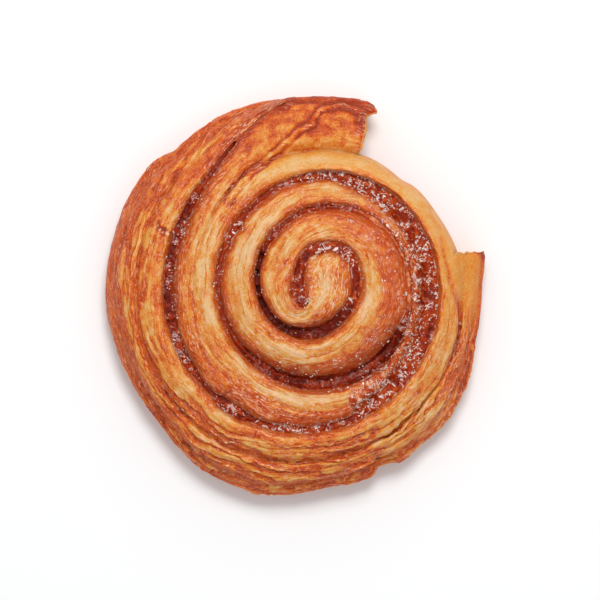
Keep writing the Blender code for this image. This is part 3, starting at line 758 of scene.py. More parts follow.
def tear_leaves(at, sizes):
    """Relief of the wrap's torn leaves. They lie like shingles, each with a ragged edge that faces out and down."""
    turn, run, across = at.turn, at.run, at.across
    ragged = 0.5 * grain(at, 4, 3, 71) + 0.35 * grain(at, 1.5, 2, 72)
    torn, over = leaf_lines(run, across + ragged, sizes.torn_spacing, 1.6, 75)
    lifted = smoothstep(along_leaf(run, torn, 10, 81), -0.7, 0.1)
    on_left = smoothstep(turn, *LEFT_WRAP)
    torn_face = at.on_wrap * (1 - smoothstep(at.place, 1.3, 1.7)) * (1 - 0.4 * on_left) * lifted
    # under marks painted shade on each torn leaf's steep face and at its foot, over_edge a painted highlight just
    # inside its edge
    at.under = torn_face * np.clip(smoothstep(over, 0.80, 0.92) + 1 - smoothstep(over, 0.06, 0.2), 0, 1)
    at.over_edge = torn_face * within(over, (0.5, 0.7), (0.72, 0.82))
    drop = over / 0.8 * (1 - smoothstep(over, 0.8, 1)) - 0.75
    lower = (1 - 0.35 * on_left) * (1 - 0.35 * (at.lobe < 1) * smoothstep(1 - at.lobe, 0, 0.2))
    return torn_face * sizes.torn_height * drop * lower


def mark_seams(at):
    """Marks the seams and rolled rims of the tail, the wrap's end and the flap, and the torn curl at the left."""
    x, y, turn, run, place = at.x, at.y, at.turn, at.run, at.place
    wobble_x, wobble_y = 0.4 * noise(x / 2.5, y / 2.5, 95), 0.4 * noise(x / 3, y / 3, 96)
    from_seam, from_wrap, from_flap = (
        away_from(line, x + wobble_x, y + wobble_y) for line in (TAIL_SEAM, WRAP_SEAM, FLAP_LINE)
    )
    upper = at.on_top * (place < 1.3)
    before_cut = upper * (turn < TAIL_END)
    at.rope = before_cut * (turn > 3.15) * ridge(from_seam, 0, 0.5)
    at.rope_edge = before_cut * (turn > 3.15) * ridge(from_seam, 1.15, 0.5)
    at.wrap_seam = upper * ((turn > 4.1) | (turn < TAIL_END) & (turn > 3.2)) * ridge(from_wrap, 0, 1.7)
    at.flap_line = upper * (turn > TAIL_END) * (turn < 3.8) * ridge(from_flap, 0, 0.75)

    from_edge = outline_radius(turn) - np.hypot(x, y) + 0.3 * noise(run / 4, 0.0, 97)
    edge = before_cut * smoothstep(turn, 3.335, 3.352) * (place > at.crease)
    at.lip = edge * ridge(from_edge, 0.5, 0.8)
    # Painted shadow in the groove beneath the tail's lip, which is also sunk a little
    at.beneath = edge * ridge(from_edge, 1.9, 0.4) * smoothstep(noise(run / 5, 1.0, 98), -0.8, -0.1)
    at.end_rust = edge * smoothstep(turn, TAIL_END - 0.010, TAIL_END - 0.002) * smoothstep(place, 0.5, 0.85)
    flap = upper * within(turn, (WRAP_START, WRAP_START + 0.001), (3.7, 3.76))
    past_step = np.clip(run - run_at(at, WRAP_START), 0, None)
    at.corner = flap * (1 - smoothstep(from_edge + past_step, 1.5, 4))
    at.flap_edge = flap * (1 - smoothstep(from_edge, 0.6, 1.8))

    at.curl = at.on_top * ridge(x, TORN_CURL[0], CURL_REACH[0]) * ridge(y, TORN_CURL[1], CURL_REACH[1])
    at.curl_line = np.abs(noise(x / 2.0 + 0.4 * y, y / 0.9, 191))


def flake_tail(at):
    """Relief of the tail, whose skin has flaked off in angular plates."""
    run, across = at.run, at.across
    nearest, second, at.plate = cells(run / 2.3 + 0.5 * grain(at, 1.5, 1.5, 91), across / 1.5, 92)
    at.plate_seam = 1 - smoothstep(second - nearest, 0.02, 0.16)
    return at.on_tail * at.on_top * (PLATE_HEIGHT * (at.plate - 0.5) - PLATE_SEAM_DEPTH * at.plate_seam)


def cut_leaves(at):
    """Relief of the two cut faces, which show the leaves from their ends."""
    leaf = at.cut / CUT_LEAF_SPACING + 0.5 * noise(at.side_run / 5, at.cut / 2, 101)
    at.cut_dome = dome(leaf - np.floor(leaf))
    at.cut_rise = along_leaf(at.side_run, np.floor(leaf), 6, 111)
    bulge = 0.35 * (at.cut_dome * (0.8 + at.cut_rise) - 0.3) + 0.5 * noise(at.side_run / 4, at.cut / 4, 113)
    return bulge * (at.place < 2) * (at.place > 0)


def shape_dough(at, sizes):
    """Moves the strip's points out and in by all the relief together, and tears its two cut ends."""
    relief = lay_leaves(at, sizes) + tear_leaves(at, sizes) + flake_tail(at)
    mark_seams(at)
    relief *= 1 - 0.8 * at.wrap_seam
    for detail, height in STANDS_OUT.items():
        relief += height * getattr(at, detail)
    relief += at.curl * (0.75 - 1.6 * at.curl_line)
    relief = mix(relief, cut_leaves(at), at.cut_face)
    to_cut = np.min([np.abs(at.run - run_at(at, step)) for step in (TAIL_END, WRAP_START)], 0)
    sunk = (1 - np.clip(to_cut / CUT_SINK_REACH, 0, 1)) ** 2
    relief -= CUT_SINK * at.beside_cut * (1 - at.cut_face) * sunk * (at.place > 0)
    at.relief = relief
    at.points = at.ribs + at.normal * relief[..., None]
    at.points[..., :2] += torn_ends(at)
    at.points[..., 2] = np.maximum(at.points[..., 2], 0)


def brown_dough(at):
    """How brown the dough is at each point: 0 where it hardly browned, and 1 where it is darkest. It is partly
    painted: shade in the relief's valleys, slits and steep flanks, which are also browner crust, painted shade under
    the torn leaves' edges and beneath the tail's lip, and a painted highlight just inside the torn leaves' edges.
    """
    turn, run, across, place, plain = at.turn, at.run, at.across, at.place, at.on_top * (1 - at.skin)
    at.rust = patches(run, across, 4.5, 2.2, 131, 0.05, 0.35)
    cream = patches(run, across, 6, 1.7, 135, 0.1, 0.42)
    # The relief's valleys are browner: partly the crust's own colour, partly painted shade
    valley = np.clip(-at.relief, -0.3, 0.8) * plain
    brown = crust(turn, at.lobe) + (0.55 + 0.45 * smoothstep(turn, 3.6, 3.8)) * valley + at.leaf_browning
    brown += at.leafy * (1 - 0.6 * smoothstep(turn, *FLAKY_WRAP[0])) * (0.16 * at.rust - 0.09 * cream)
    # Opened slits are browner as well as sunk: partly the crust's colour, partly painted shade
    brown += at.skin * 0.06 * grain(at, 5, 4, 137) + 0.6 * at.slit
    # Steep flanks on the crown are browner and redder: partly the crust's browning, partly painted shade
    brown += at.leafy * 0.36 * smoothstep(1 - at.normal[..., 2], 0.05, 0.6) * (place < 1.2)

    # Long slanting streaks, some pale and some browned, with a dark line between two
    along = run / 12 + 0.5 * grain(at, 4, 2.5, 161)
    over = (across + STREAK_LEAN * at.along_wrap) / 2.9 + 0.25 * grain(at, 3, 1.5, 163)
    close, next_close, tile = cells(along, over, 162)
    between = 1 - smoothstep(next_close - close, 0.04, 0.3)
    brown += at.wrapped * (0.62 * (tile - 0.56) + 0.24 * between)
    grainy = 0.5 * noise(at.x / 1.3, at.y / 1.3, 181) + 0.35 * noise(at.x / 2.8, at.y / 2.8, 182)
    brown += (0.62 * at.soaked + (0.22 + 0.16 * (turn < 1.4)) * plain * (1 - at.soaked)) * grainy
    brown = mix(brown, np.maximum(brown, 0.3 + 0.35 * grainy), at.wrapped)

    plates = 0.16 * (at.plate - 0.4) - 0.24 * smoothstep(at.plate, 0.62, 0.64) + 0.1 * at.plate_seam
    brown += at.on_tail * at.on_top * plates
    # Painted shade on and under the torn leaves' steep faces, and a painted highlight just inside their edges
    brown = np.minimum(brown + 0.34 * at.under - 0.14 * at.over_edge, 0.8) + 0.15 * at.under
    brown += at.curl * (1.4 * at.curl_line - 0.3)
    for detail, share in BROWNER.items():
        brown += share * getattr(at, detail)
    cut_brown = 0.22 + 0.55 * (1 - at.cut_dome) ** 2 + 0.2 * at.cut_rise + 0.2 * grainy
    return mix(brown, cut_brown, at.cut_face)


def sweeten_dough(at):
    """Where filling has stained and soaked the dough beside the layer, and where sugar has dried on it."""
    turn, run, across, place, on_wall = at.turn, at.run, at.across, at.place, at.on_crown * at.off_wall
    from_outer = np.where(at.at_outline > 0, np.inf, (1 - place) * at.width)
    beside_layer = np.minimum(at.over_crown, from_outer) + 0.7 * grain(at, 2.5, 2.5, 141)
    closed = np.maximum(closing(inner_turn(turn)) * (place < 0.5), closing(turn))
    reach = mix(*STAIN_REACH, closed) * (1 - 0.6 * smoothstep(turn, 2.9, 3.0) * (place > 0.5))
    stain = (1 - smoothstep(beside_layer, -0.2, reach)) * mix(*STAIN_STRENGTH, closed)
    island = at.soaked * patches(run, across, 2.4, 1.5, 145, 0.25, 0.45)
    at.soaked = at.soaked * patches(run, across, 2.6, 2, 149, -0.7, 0.2)
    sugar = on_wall * (0.3 * (1 - smoothstep(beside_layer, 0.1, 0.9)) * (1 - closed))
    sugar *= 0.35 + 0.65 * smoothstep(turn, 1.9, 2.2)
    spilled = on_wall * smoothstep(grain(at, 3, 2, 147), -0.2, 0.4)
    sugar = np.clip(sugar + spilled * (0.25 * at.soaked + 0.6 * island), 0, 1)
    stain = np.clip(stain + 0.2 * at.soaked + 0.9 * island, 0, 1.2)
    return stain, sugar * (1 - 0.5 * within(turn, (1.6, 1.8), (2.0, 2.1)))


def dress_dough(sizes):
    """The strip's grid with its leaves, torn edges and flaky plates, and what colours each point."""
    at = strip_places()
    mark_regions(at)
    shape_dough(at, sizes)
    browning = brown_dough(at)
    stain, sugar = sweeten_dough(at)

    turn, run, place, plain = at.turn, at.run, at.place, 1 - at.cut_face
    shoulder = smoothstep(place, 0.97, 1.05) * within(turn, (4.02, 4.08), (4.18, 4.24))
    rosy = np.maximum(0.54 * smoothstep(place, 1.2, 1.8), 0.35 * shoulder) * at.at_outline
    # fleck marks where small painted highlights go: on the leafy crown, the torn leaves' edges, the rope, the wrap's
    # seam, the flap's line, the soaked stretches and the torn curl
    fleck = at.leafy * (0.42 + 0.35 * at.rust + 0.5 * (turn < 1)) * (1 - 0.35 * at.wrapped) + 1.1 * at.over_edge
    fleck = fleck * (1 - 0.9 * smoothstep(place, 1.05, 1.3)) + 1.2 * at.rope + 0.5 * at.wrap_seam
    # glaze marks where a painted sheen goes: in patches on the crown and strongest on the inner turns, little on the
    # skin, the tail, the wrap and the soaked stretches
    glaze = 0.35 + 0.65 * np.maximum(smoothstep(noise(at.x / 7, at.y / 7, 173), -0.2, 0.5), turn < 0.9)
    glaze = at.on_top * glaze * (1 - 0.85 * at.skin) * (1 - 0.9 * at.on_tail) * (1 - 0.55 * at.wrapped)
    values = {
        "browning": browning,
        "stain": stain,
        "fleck": fleck + 0.6 * at.flap_line + 0.5 * at.soaked + at.curl,
        "glaze": glaze * (1 - 0.5 * at.soaked) * (1.5 - 0.5 * smoothstep(turn, 0.62, 0.8)),
        "leafy": np.clip(1 - 0.85 * at.skin - 0.8 * at.on_tail, 0, 1) * plain + at.cut_face,
        "sugar": sugar,
        "rosy": rosy * (1 - 0.6 * at.bare) * plain + 0.45 * at.soaked * (1 - at.at_outline),
    }
    wavy = at.side_run + 0.5 * noise(run / 9, at.side_run / 4, 171)
    wavy = wavy + 0.18 * noise(run / 2.5, at.side_run / 1.5, 172)
    return at.points, run + at.cut * at.beside_cut, wavy + 0.1 * at.along_wrap, values


def grid_mesh(name, points, along, around, attributes, material):
    """A closed smooth mesh over a grid of rings, with a fan over each end, a UV map in metres and attributes."""
    rows, columns = points.shape[:2]
    index = np.arange(rows * columns).reshape(rows, columns)
    following = np.roll(index, -1, 1)
    quads = np.stack([index[:-1], index[1:], following[1:], following[:-1]], -1).reshape(-1, 4)
    first, last = rows * columns, rows * columns + 1
    start = [(first, a, b) for a, b in zip(index[0], following[0])]
    finish = [(last, b, a) for a, b in zip(index[-1], following[-1])]
    centres = np.stack([points[0].mean(0), points[-1].mean(0)])
    place = np.concatenate([points.reshape(-1, 3), centres]) + np.array([*ROLL_CENTRE, 0.0])
    mesh = bpy.data.meshes.new(name)
    mesh.from_pydata((place * MM).tolist(), [], quads.tolist() + start + finish)

    # The faces that close each ring run on past its last point instead of back to 0
    total = around[:, -1:] + np.linalg.norm(points[:, :1] - points[:, -1:], axis=-1)
    uv = np.stack([np.broadcast_to(along, around.shape), around], -1)
    wrapped = np.concatenate([uv[:, 1:], np.stack([uv[:, 0, 0], total[:, 0]], -1)[:, None]], 1)
    corners = np.stack([uv[:-1], uv[1:], wrapped[1:], wrapped[:-1]], 2).reshape(-1, 2)
    caps = np.concatenate([np.repeat(uv[end, :1], 3 * columns, 0) for end in (0, -1)])
    layer = mesh.uv_layers.new(name="UVMap")
    layer.data.foreach_set("uv", (np.concatenate([corners, caps]) * MM).astype(np.float32).ravel())
    for key, values in attributes.items():
        values = np.broadcast_to(values, (rows, columns))
        ends = [values[0].mean(), values[-1].mean()]
        made = mesh.attributes.new(key, "FLOAT", "POINT")
        made.data.foreach_set("value", np.concatenate([values.ravel(), ends]).astype(np.float32))
    mesh.shade_smooth()
    mesh.materials.append(material)
    mesh.validate()
    made = bpy.data.objects.new(name, mesh)
    bpy.context.scene.collection.objects.link(made)
    return made


# The filling's mesh: the spacing of its rows, the points across its top, and the places at which its line is
# measured
RIBBON_SPACING = 0.28
RIBBON_TOP_POINTS = 48
RIBBON_SAMPLES = 8000
# How far it clings to the dough past its rims, how high its foot lies, how far it sinks and domes between the
# rims, and how far it reaches round its inner end
RIBBON_OVERLAP = 1.1
RIBBON_FOOT = 0.6
RIBBON_SINK = 0.25
RIBBON_DOME = 0.35
RIBBON_NOSE = 2.1
# A height above all of the roll, from which its surface is felt
ABOVE_ROLL = 60
# The stretch where the filling has shrunk away in pits, and the one where dough has closed over it
PITTED = ((1.03, 1.06), (1.24, 1.27))
COVERED = ((1.45, 1.48), (1.64, 1.67))
PIT_DEPTH = 1.6
# How steeply the filling in the groove falls away past the rims, how far it stands on the dough, and how much
# of that it loses towards the far side of the boiled over part and towards its own edge
RIM_FALL, CLING, SPILL_THINS, EDGE_THINS = 1.6, 0.55, 0.75, 0.8
# The stretches where the filling lies in the grooves' shade, which is painted in as darker filling with fewer glints:
# on the first lap, and below the second one
SHADED_INSIDE = ((0.64, 0.74), (1.2, 1.26))
SHADED_OUTSIDE = ((1.66, 1.72), (2.0, 2.08))
DULL_END = (2.93, 2.96)


def ribbon_turns():
    """Evenly spaced turns along the layer, and how far along it they lie. The nose lies before its start."""
    fine = np.linspace(0, LAYER_END, RIBBON_SAMPLES)
    run = np.append(0, np.cumsum(np.linalg.norm(np.diff(layer_line(fine), axis=0), axis=-1)))
    even = np.linspace(-RIBBON_NOSE, run[-1], int(round((run[-1] + RIBBON_NOSE) / RIBBON_SPACING)) + 1)
    return np.interp(even, run, fine), even


def dough_below(plan):
    """Height of the dough's surface under each place in plan, or 0 where a groove opens below it."""
    seen = BVHTree.FromObject(bpy.data.objects["baked_dough"], bpy.context.evaluated_depsgraph_get())
    places = ((plan + ROLL_CENTRE) * MM).reshape(-1, 2).tolist()
    found = [seen.ray_cast((x, y, ABOVE_ROLL * MM), (0, 0, -1))[0] for x, y in places]
    return np.array([0 if hit is None else hit[2] / MM for hit in found]).reshape(plan.shape[:-1])


def dress_filling(sizes):
    """The filling's grid of closed rings, bubbled and ridged on top, and what colours each point."""
    turns, run = ribbon_turns()
    turn, run = turns[:, None], run[:, None]
    shown = table(turn, FILLING_WIDTHS) / 2
    spill = table(turn, SPILL_WIDTHS)
    nose = np.sqrt(np.clip(1 - (np.minimum(run, 0) / RIBBON_NOSE) ** 2, 0.0004, 1))
    reach_in = (shown + spill + RIBBON_OVERLAP) * nose
    reach_out = (shown + RIBBON_OVERLAP) * nose
    top = layer_height(turn) - RIBBON_SINK - table(turn, FILLING_HOLLOWS)
    share = np.linspace(0, 1, RIBBON_TOP_POINTS)[None, :]
    x = mix(-reach_in, reach_out, share)

    line = layer_line(turns)
    outwards = layer_side(turns, np.ones(len(turns))) - line
    backwards = np.stack([-outwards[:, 1], outwards[:, 0]], -1)
    line = line - backwards * np.minimum(run, 0)
    plan = line[:, None, :] + outwards[:, None, :] * x[..., None]

    wide = smoothstep(shown + spill / 2, 0.3, 1.2)
    wander = 0.5 * noise(run / 2, x / 2, 201)
    lump, _, size = cells(run / 1.7 + wander, x / 1.4 + 0.5 * noise(run / 1.6, x / 1.6, 202), 203)
    bubble, _, _ = cells(run / 0.8 + wander, x / 0.7, 206)
    swell = noise(run / 4.5, x / 2.6, 209)
    rough = 0.6 * (size - 0.35) * (1 - 1.2 * lump**2) + 0.2 * (1 - 1.8 * bubble**2) + 0.25 * swell
    rough = sizes.filling_height * (rough - 0.1)

    # In the groove the filling lies level, and past its rims it clings to the dough, thinner and thinner
    top = top - PIT_DEPTH * within(turn, *PITTED) * smoothstep(noise(run / 1.7, 0.0, 231), 0.0, 0.35)
    across_groove = np.clip(x / np.maximum(shown, 0.2), -1, 1)
    level = top + RIBBON_DOME * (1 - across_groove**2) * wide
    level = level + rough * wide * (0.3 + 0.7 * (1 - np.abs(across_groove) ** 3))
    past_rim = np.maximum(np.maximum(-x - shown - spill, x - shown), -5)
    level = level - RIM_FALL * np.clip(np.abs(x) - shown, 0, 1.5)
    ragged = 0.35 * noise(run / 1.9, x / 1.5, 221) + 0.25 * noise(run / 0.8, x / 0.7, 222)
    over_spill = np.clip((-x - shown) / np.maximum(spill, 0.5), 0, 1) * (spill > 0.3)
    thick = CLING * smoothstep(past_rim, 0.5, -0.6) - SPILL_THINS * over_spill**1.5
    thick = thick - EDGE_THINS * smoothstep(past_rim, -0.2, RIBBON_OVERLAP) + ragged * (0.5 + 1.3 * over_spill)
    thick = thick + 0.6 * rough * over_spill * wide
    clinging = dough_below(plan) + thick
    z = np.maximum(level, clinging)

    sheet = LAYER_SHEET / 2 * nose
    low = np.full(turn.shape, RIBBON_FOOT)
    neck = top - LAYER_DEPTH
    sides = np.concatenate([-sheet, -sheet, x, sheet, sheet], 1)
    heights = np.concatenate([low, neck, z, neck, low], 1)
    ring = line[:, None, :] + outwards[:, None, :] * sides[..., None]
    points = np.concatenate([ring, heights[..., None]], -1)

    def ringed(values, **padding):
        return np.pad(np.broadcast_to(values, z.shape), ((0, 0), (2, 2)), **padding)

    in_groove = level >= clinging
    thin = np.where(in_groove, 0, 1 - smoothstep(thick, 0.15, 0.6))
    # Painted shade where the grooves lie in shadow, and from DULL_END on a darker filling: darker colour, fewer
    # glints and less of the thin orange edge
    darkened = within(turn, *SHADED_INSIDE) + within(turn, *SHADED_OUTSIDE) + 0.6 * smoothstep(turn, *DULL_END)
    thin = np.maximum(thin * (1 - 0.8 * darkened), within(turn, *COVERED))
    # frost spreads squiggles of dried sugar and painted highlights over the filling's lumps
    frost = wide * (1 - 0.85 * darkened) * smoothstep(swell + 0.5 * size, -0.5, 0.2) * (1 - 0.4 * thin)
    sugar = frost * smoothstep(noise(run / 1.3, x / 1.2, 225), -0.1, 0.4)
    height = 0.42 + rough * wide / 0.9 - (0.3 + 0.22 * (turn < 1.5)) * darkened
    values = {
        "height": ringed(np.clip(height, 0, 1), mode="edge"),
        "patch": ringed(np.clip(thin, 0, 1), mode="edge"),
        "frost": ringed(frost, mode="edge"),
        "sugar": ringed(sugar),
    }
    return points, run - run[0], ring_distance(points), values


def set_sockets(tree, sockets, values):
    """Sets each socket named, or joins it to the value if that is a socket too. Spaces in names are underscores."""
    for key, value in values.items():
        socket = sockets[key] if isinstance(key, int) else sockets[key.replace("_", " ")]
        if isinstance(value, bpy.types.NodeSocket):
            tree.links.new(value, socket)
        else:
            socket.default_value = value


def node(tree, kind, settings=None, **inputs):
    """A node of a kind, with its settings and its sockets set."""
    made = tree.nodes.new(kind)
    for key, value in (settings or {}).items():
        setattr(made, key, value)
    set_sockets(tree, made.inputs, inputs)
    return made


def arithmetic(operation, first, *others):
    """A sum on values, of which the first is always a socket."""
    made = node(first.id_data, "ShaderNodeMath", {"operation": operation})
    set_sockets(first.id_data, made.inputs, dict(enumerate((first, *others))))
    return made.outputs[0]


def times(first, second):
    return arithmetic("MULTIPLY", first, second)


def times_plus(first, second, third):
    return arithmetic("MULTIPLY_ADD", first, second, third)


def smooth_range(value, low, high):
    """0 below the low end of a range and 1 above the high one, or the other way round if low is above high."""
    made = node(value.id_data, "ShaderNodeMapRange", {"interpolation_type": "SMOOTHSTEP"}, Value=value)
    made.inputs["From Min"].default_value = low
    made.inputs["From Max"].default_value = high
    return made.outputs["Result"]


def with_alpha(colour):
    return colour if isinstance(colour, bpy.types.NodeSocket) else (*colour, 1)


def blended(share, a, b):
    """Colour a, turning into colour b as the share goes from 0 to 1."""
    made = node(share.id_data, "ShaderNodeMix", {"data_type": "RGBA"})
    set_sockets(share.id_data, made.inputs, {0: share, 6: with_alpha(a), 7: with_alpha(b)})
    return made.outputs[2]


def ramp(value, stops):
    """A colour ramp through (place, colour) stops."""
    made = node(value.id_data, "ShaderNodeValToRGB", Fac=value)
    elements = made.color_ramp.elements
    elements[0].position, elements[1].position = stops[0][0], stops[-1][0]
    elements[0].color, elements[1].color = with_alpha(stops[0][1]), with_alpha(stops[-1][1])
    for place, colour in stops[1:-1]:
        elements.new(place).color = with_alpha(colour)
    return made.outputs["Color"]


def attribute(tree, name):
    return node(tree, "ShaderNodeAttribute", {"attribute_name": name}).outputs["Fac"]


def mottling(place, scale, detail, distortion=0.0):
    """Noise through the food, of a scale per metre."""
    made = node(place.id_data, "ShaderNodeTexNoise", Vector=place, Scale=scale, Detail=detail, Distortion=distortion)
    return made.outputs["Fac"]


def streak_noise(tree, along, across, detail, offset):
    """Noise that is stretched along the strip, from sizes in metres along and across it."""
    place = node(tree, "ShaderNodeUVMap", {"uv_map": "UVMap"}).outputs["UV"]
    scale, shift = (1 / along, 1 / across, 1), (offset, offset, 0)
    scaled = node(tree, "ShaderNodeMapping", Vector=place, Scale=scale, Location=shift)
    return mottling(scaled.outputs[0], 1.0, detail)


def new_material(name):
    """A material, its node tree and its shader."""
    made = bpy.data.materials.new(name)
    made.use_nodes = True
    return made, made.node_tree, made.node_tree.nodes["Principled BSDF"]


def place_in(tree):
    return node(tree, "ShaderNodeTexCoord").outputs["Object"]


def roughen(tree, shader, height, depth):
    """Fine bumps, up to a depth in metres, on the surface and its coat."""
    raised = node(tree, "ShaderNodeBump", Height=height, Strength=0.7, Distance=depth).outputs[0]
    set_sockets(tree, shader.inputs, {"Normal": raised, "Coat Normal": raised})


def sugar_glint_squiggles(place, spread):
    """1 along short squiggles, 0 between them. Painted in the sugar's colour, they stand partly for dried sugar and
    partly for painted highlights where the wet sugar catches the light.
    """
    from_ridge = arithmetic("ABSOLUTE", arithmetic("SUBTRACT", mottling(place, 430.0, 2.0, 0.8), 0.5))
    broken = smooth_range(mottling(place, 560.0, 1.0), 0.5, 0.57)
    squiggle = times(smooth_range(from_ridge, 0.05, 0.018), broken)
    speckle = smooth_range(mottling(place, 900.0, 2.0), 0.55, 0.63)
    speckle = times(speckle, smooth_range(mottling(place, 240.0, 2.0), 0.5, 0.6))
    return times(arithmetic("MAXIMUM", squiggle, times(speckle, 0.85)), spread)


# Places along the browning, from 0 to 1, at which the crust has each of its colours
CRUST_STOPS = {"pale": 0.1, "golden": 0.38, "amber": 0.61, "brown": 0.82, "dark": 1.0}
FILLING_STOPS = {"syrup": 0.0, "cinnamon": 0.5, "toffee": 1.0}
# The browning is spread about its usual level, which the noise in it adds up to
BROWNING_SPREAD, BROWNING_LEVEL, BROWNING_SHIFT = 0.85, 0.675, 0.14
# Sizes in metres along and across the strip, the detail and the offset of each kind of streak
STREAKS = (0.0022, 0.00036, 3.0, 0.0)
BANDS = (0.007, 0.0013, 3.0, 7.0)
# SPECKS places the painted glints, short specks of a highlight colour
SPECKS = (0.0015, 0.0004, 1.0, 19.0)
DASHES = (0.0022, 0.0004, 1.0, 31.0)
FLUSHES = (0.005, 0.0016, 3.0, 43.0)
# SHEENS places the painted sheen, streaks of a highlight colour
SHEENS = (0.0016, 0.0006, 3.0, 57.0)


def crust_material(colours):
    """Egg-washed laminated dough: streaks of pale and browned leaves under a thin coat of egg wash, with a painted
    sheen and painted glints standing for its highlights.
    """
    made, tree, shader = new_material("egg_washed_dough")
    place = place_in(tree)
    streaks, bands, specks, dashes, flush, sheen = (
        streak_noise(tree, *kind) for kind in (STREAKS, BANDS, SPECKS, DASHES, FLUSHES, SHEENS)
    )
    blotches, crumbs = mottling(place, 330.0, 3.0), mottling(place, 1900.0, 2.0)
    fleck = attribute(tree, "fleck")
    lines = times_plus(streaks, 0.3, times_plus(bands, 0.5, -0.4))
    brown = times_plus(lines, attribute(tree, "leafy"), attribute(tree, "browning"))
    brown = times_plus(blotches, 0.55, brown)
    brown = times_plus(crumbs, 0.8, brown)
    brown = times_plus(smooth_range(dashes, 0.36, 0.28), 0.22, brown)
    brown = times_plus(brown, BROWNING_SPREAD, BROWNING_SHIFT - BROWNING_SPREAD * BROWNING_LEVEL)
    colour = ramp(brown, [(stop, getattr(colours, name)) for name, stop in CRUST_STOPS.items()])
    # The rosy flush follows the painted-glint mask as well as its own noise
    flush = times(smooth_range(flush, 0.5, 0.66), fleck)
    flush = arithmetic("MAXIMUM", flush, attribute(tree, "rosy"))
    colour = blended(times(flush, 0.55), colour, colours.rosy)
    # Painted sheen: streaks of a highlight colour where the painted-sheen mask is high
    sheen = times(smooth_range(sheen, 0.53, 0.62), attribute(tree, "glaze"))
    colour = blended(times(sheen, 0.6), colour, colours.painted_sheen)
    soaked = times_plus(crumbs, 0.8, times_plus(streaks, 0.9, -0.05))
    colour = blended(times(attribute(tree, "stain"), soaked), colour, colours.stain)
    # Squiggles of dried sugar and painted highlights where sugar lies on the dough
    colour = blended(sugar_glint_squiggles(place, attribute(tree, "sugar")), colour, colours.sugar)
    # Painted glints: specks of a highlight colour where the painted-glint mask is high
    shine = times(fleck, smooth_range(specks, 0.61, 0.67))
    colour = blended(times(shine, 0.85), colour, colours.fleck)
    surface = {
        "Base Color": colour, "Roughness": times_plus(blotches, 0.35, 0.28), "Specular IOR Level": 0.12,
        "Coat Weight": 0.12, "Coat Roughness": 0.15, "Subsurface Weight": 0.75, "Subsurface Scale": 0.0028,
        "Subsurface Radius": (1.0, 0.35, 0.1),
    }  # fmt: skip
    set_sockets(tree, shader.inputs, surface)
    roughen(tree, shader, times_plus(streaks, 1.0, times(crumbs, 0.7)), 0.0003)
    return made


def filling_material(colours):
    """Sticky cinnamon sugar: near black in its hollows, brown on its lumps and wet all over."""
    made, tree, shader = new_material("cinnamon_sugar")
    place = place_in(tree)
    level = times_plus(mottling(place, 700.0, 2.0), 0.7, attribute(tree, "height"))
    level = arithmetic("SUBTRACT", level, 0.35)
    colour = ramp(level, [(stop, getattr(colours, name)) for name, stop in FILLING_STOPS.items()])
    soaked = blended(smooth_range(mottling(place, 520.0, 3.0), 0.48, 0.6), colours.stain, colours.rosy)
    colour = blended(attribute(tree, "patch"), colour, soaked)
    # Squiggles of dried sugar and painted highlights over the filling, also raised as bumps
    frost = sugar_glint_squiggles(place, attribute(tree, "frost"))
    colour = blended(times(frost, 0.9), colour, colours.sugar)
    surface = {
        "Base Color": colour, "Roughness": 0.4, "Specular IOR Level": 0.06, "Coat Weight": 0.15,
        "Coat Roughness": 0.1,
    }  # fmt: skip
    set_sockets(tree, shader.inputs, surface)
    roughen(tree, shader, arithmetic("ADD", mottling(place, 2600.0, 3.0), frost), 0.00025)
    return made


def sugar_material(colours):
    """Dried sugar, cloudy where it has soaked up syrup, with a wet shine."""
    made, tree, shader = new_material("melted_sugar")
    place = place_in(tree)
    wet = smooth_range(mottling(place, 900.0, 1.0), 0.35, 0.65)
    surface = {
        "Base Color": blended(wet, colours.sugar, colours.syrupy_sugar), "Roughness": 0.2, "Coat Weight": 0.6,
        "Coat Roughness": 0.08,
    }  # fmt: skip
    set_sockets(tree, shader.inputs, surface)
    return made


# A crystal's turn on each axis, in radians, and the least and most that it is stretched
CRYSTAL_TURN = (6.3, 6.3, 6.3)
CRYSTAL_STRETCH = ((0.5, 0.4, 0.3), (1.6, 0.8, 0.6))


def sugar_tree(material):
    """Geometry nodes that strew small crystals over a surface where its sugar attribute is high."""
    tree = bpy.data.node_groups.new("sugar_crystals", "GeometryNodeTree")
    for name, way, kind in (
        ("Geometry", "INPUT", "Geometry"), ("Crystals per Square Metre", "INPUT", "Float"),
        ("Crystal Size", "INPUT", "Float"), ("Seed", "INPUT", "Int"), ("Geometry", "OUTPUT", "Geometry"),
    ):  # fmt: skip
        tree.interface.new_socket(name, in_out=way, socket_type=f"NodeSocket{kind}")
    given = node(tree, "NodeGroupInput").outputs
    sugar = node(tree, "GeometryNodeInputNamedAttribute", {"data_type": "FLOAT"}, Name="sugar")
    density = times(sugar.outputs["Attribute"], given["Crystals per Square Metre"])
    points = node(
        tree, "GeometryNodeDistributePointsOnFaces", Mesh=given["Geometry"], Density=density, Seed=given["Seed"]
    )
    crystal = node(tree, "GeometryNodeMeshIcoSphere", Radius=given["Crystal Size"], Subdivisions=1)
    turn, scale = (
        node(tree, "FunctionNodeRandomValue", {"data_type": "FLOAT_VECTOR"}, Seed=given["Seed"]) for _ in range(2)
    )
    turn.inputs[1].default_value = CRYSTAL_TURN
    scale.inputs[0].default_value, scale.inputs[1].default_value = CRYSTAL_STRETCH
    strewn = node(
        tree, "GeometryNodeInstanceOnPoints", Points=points.outputs["Points"], Instance=crystal.outputs["Mesh"],
        Rotation=turn.outputs[0], Scale=scale.outputs[0],
    )  # fmt: skip
    real = node(tree, "GeometryNodeRealizeInstances", Geometry=strewn.outputs[0])
    finished = node(tree, "GeometryNodeSetMaterial", Geometry=real.outputs[0], Material=material)
    node(tree, "NodeGroupOutput", Geometry=finished.outputs[0])
    return tree


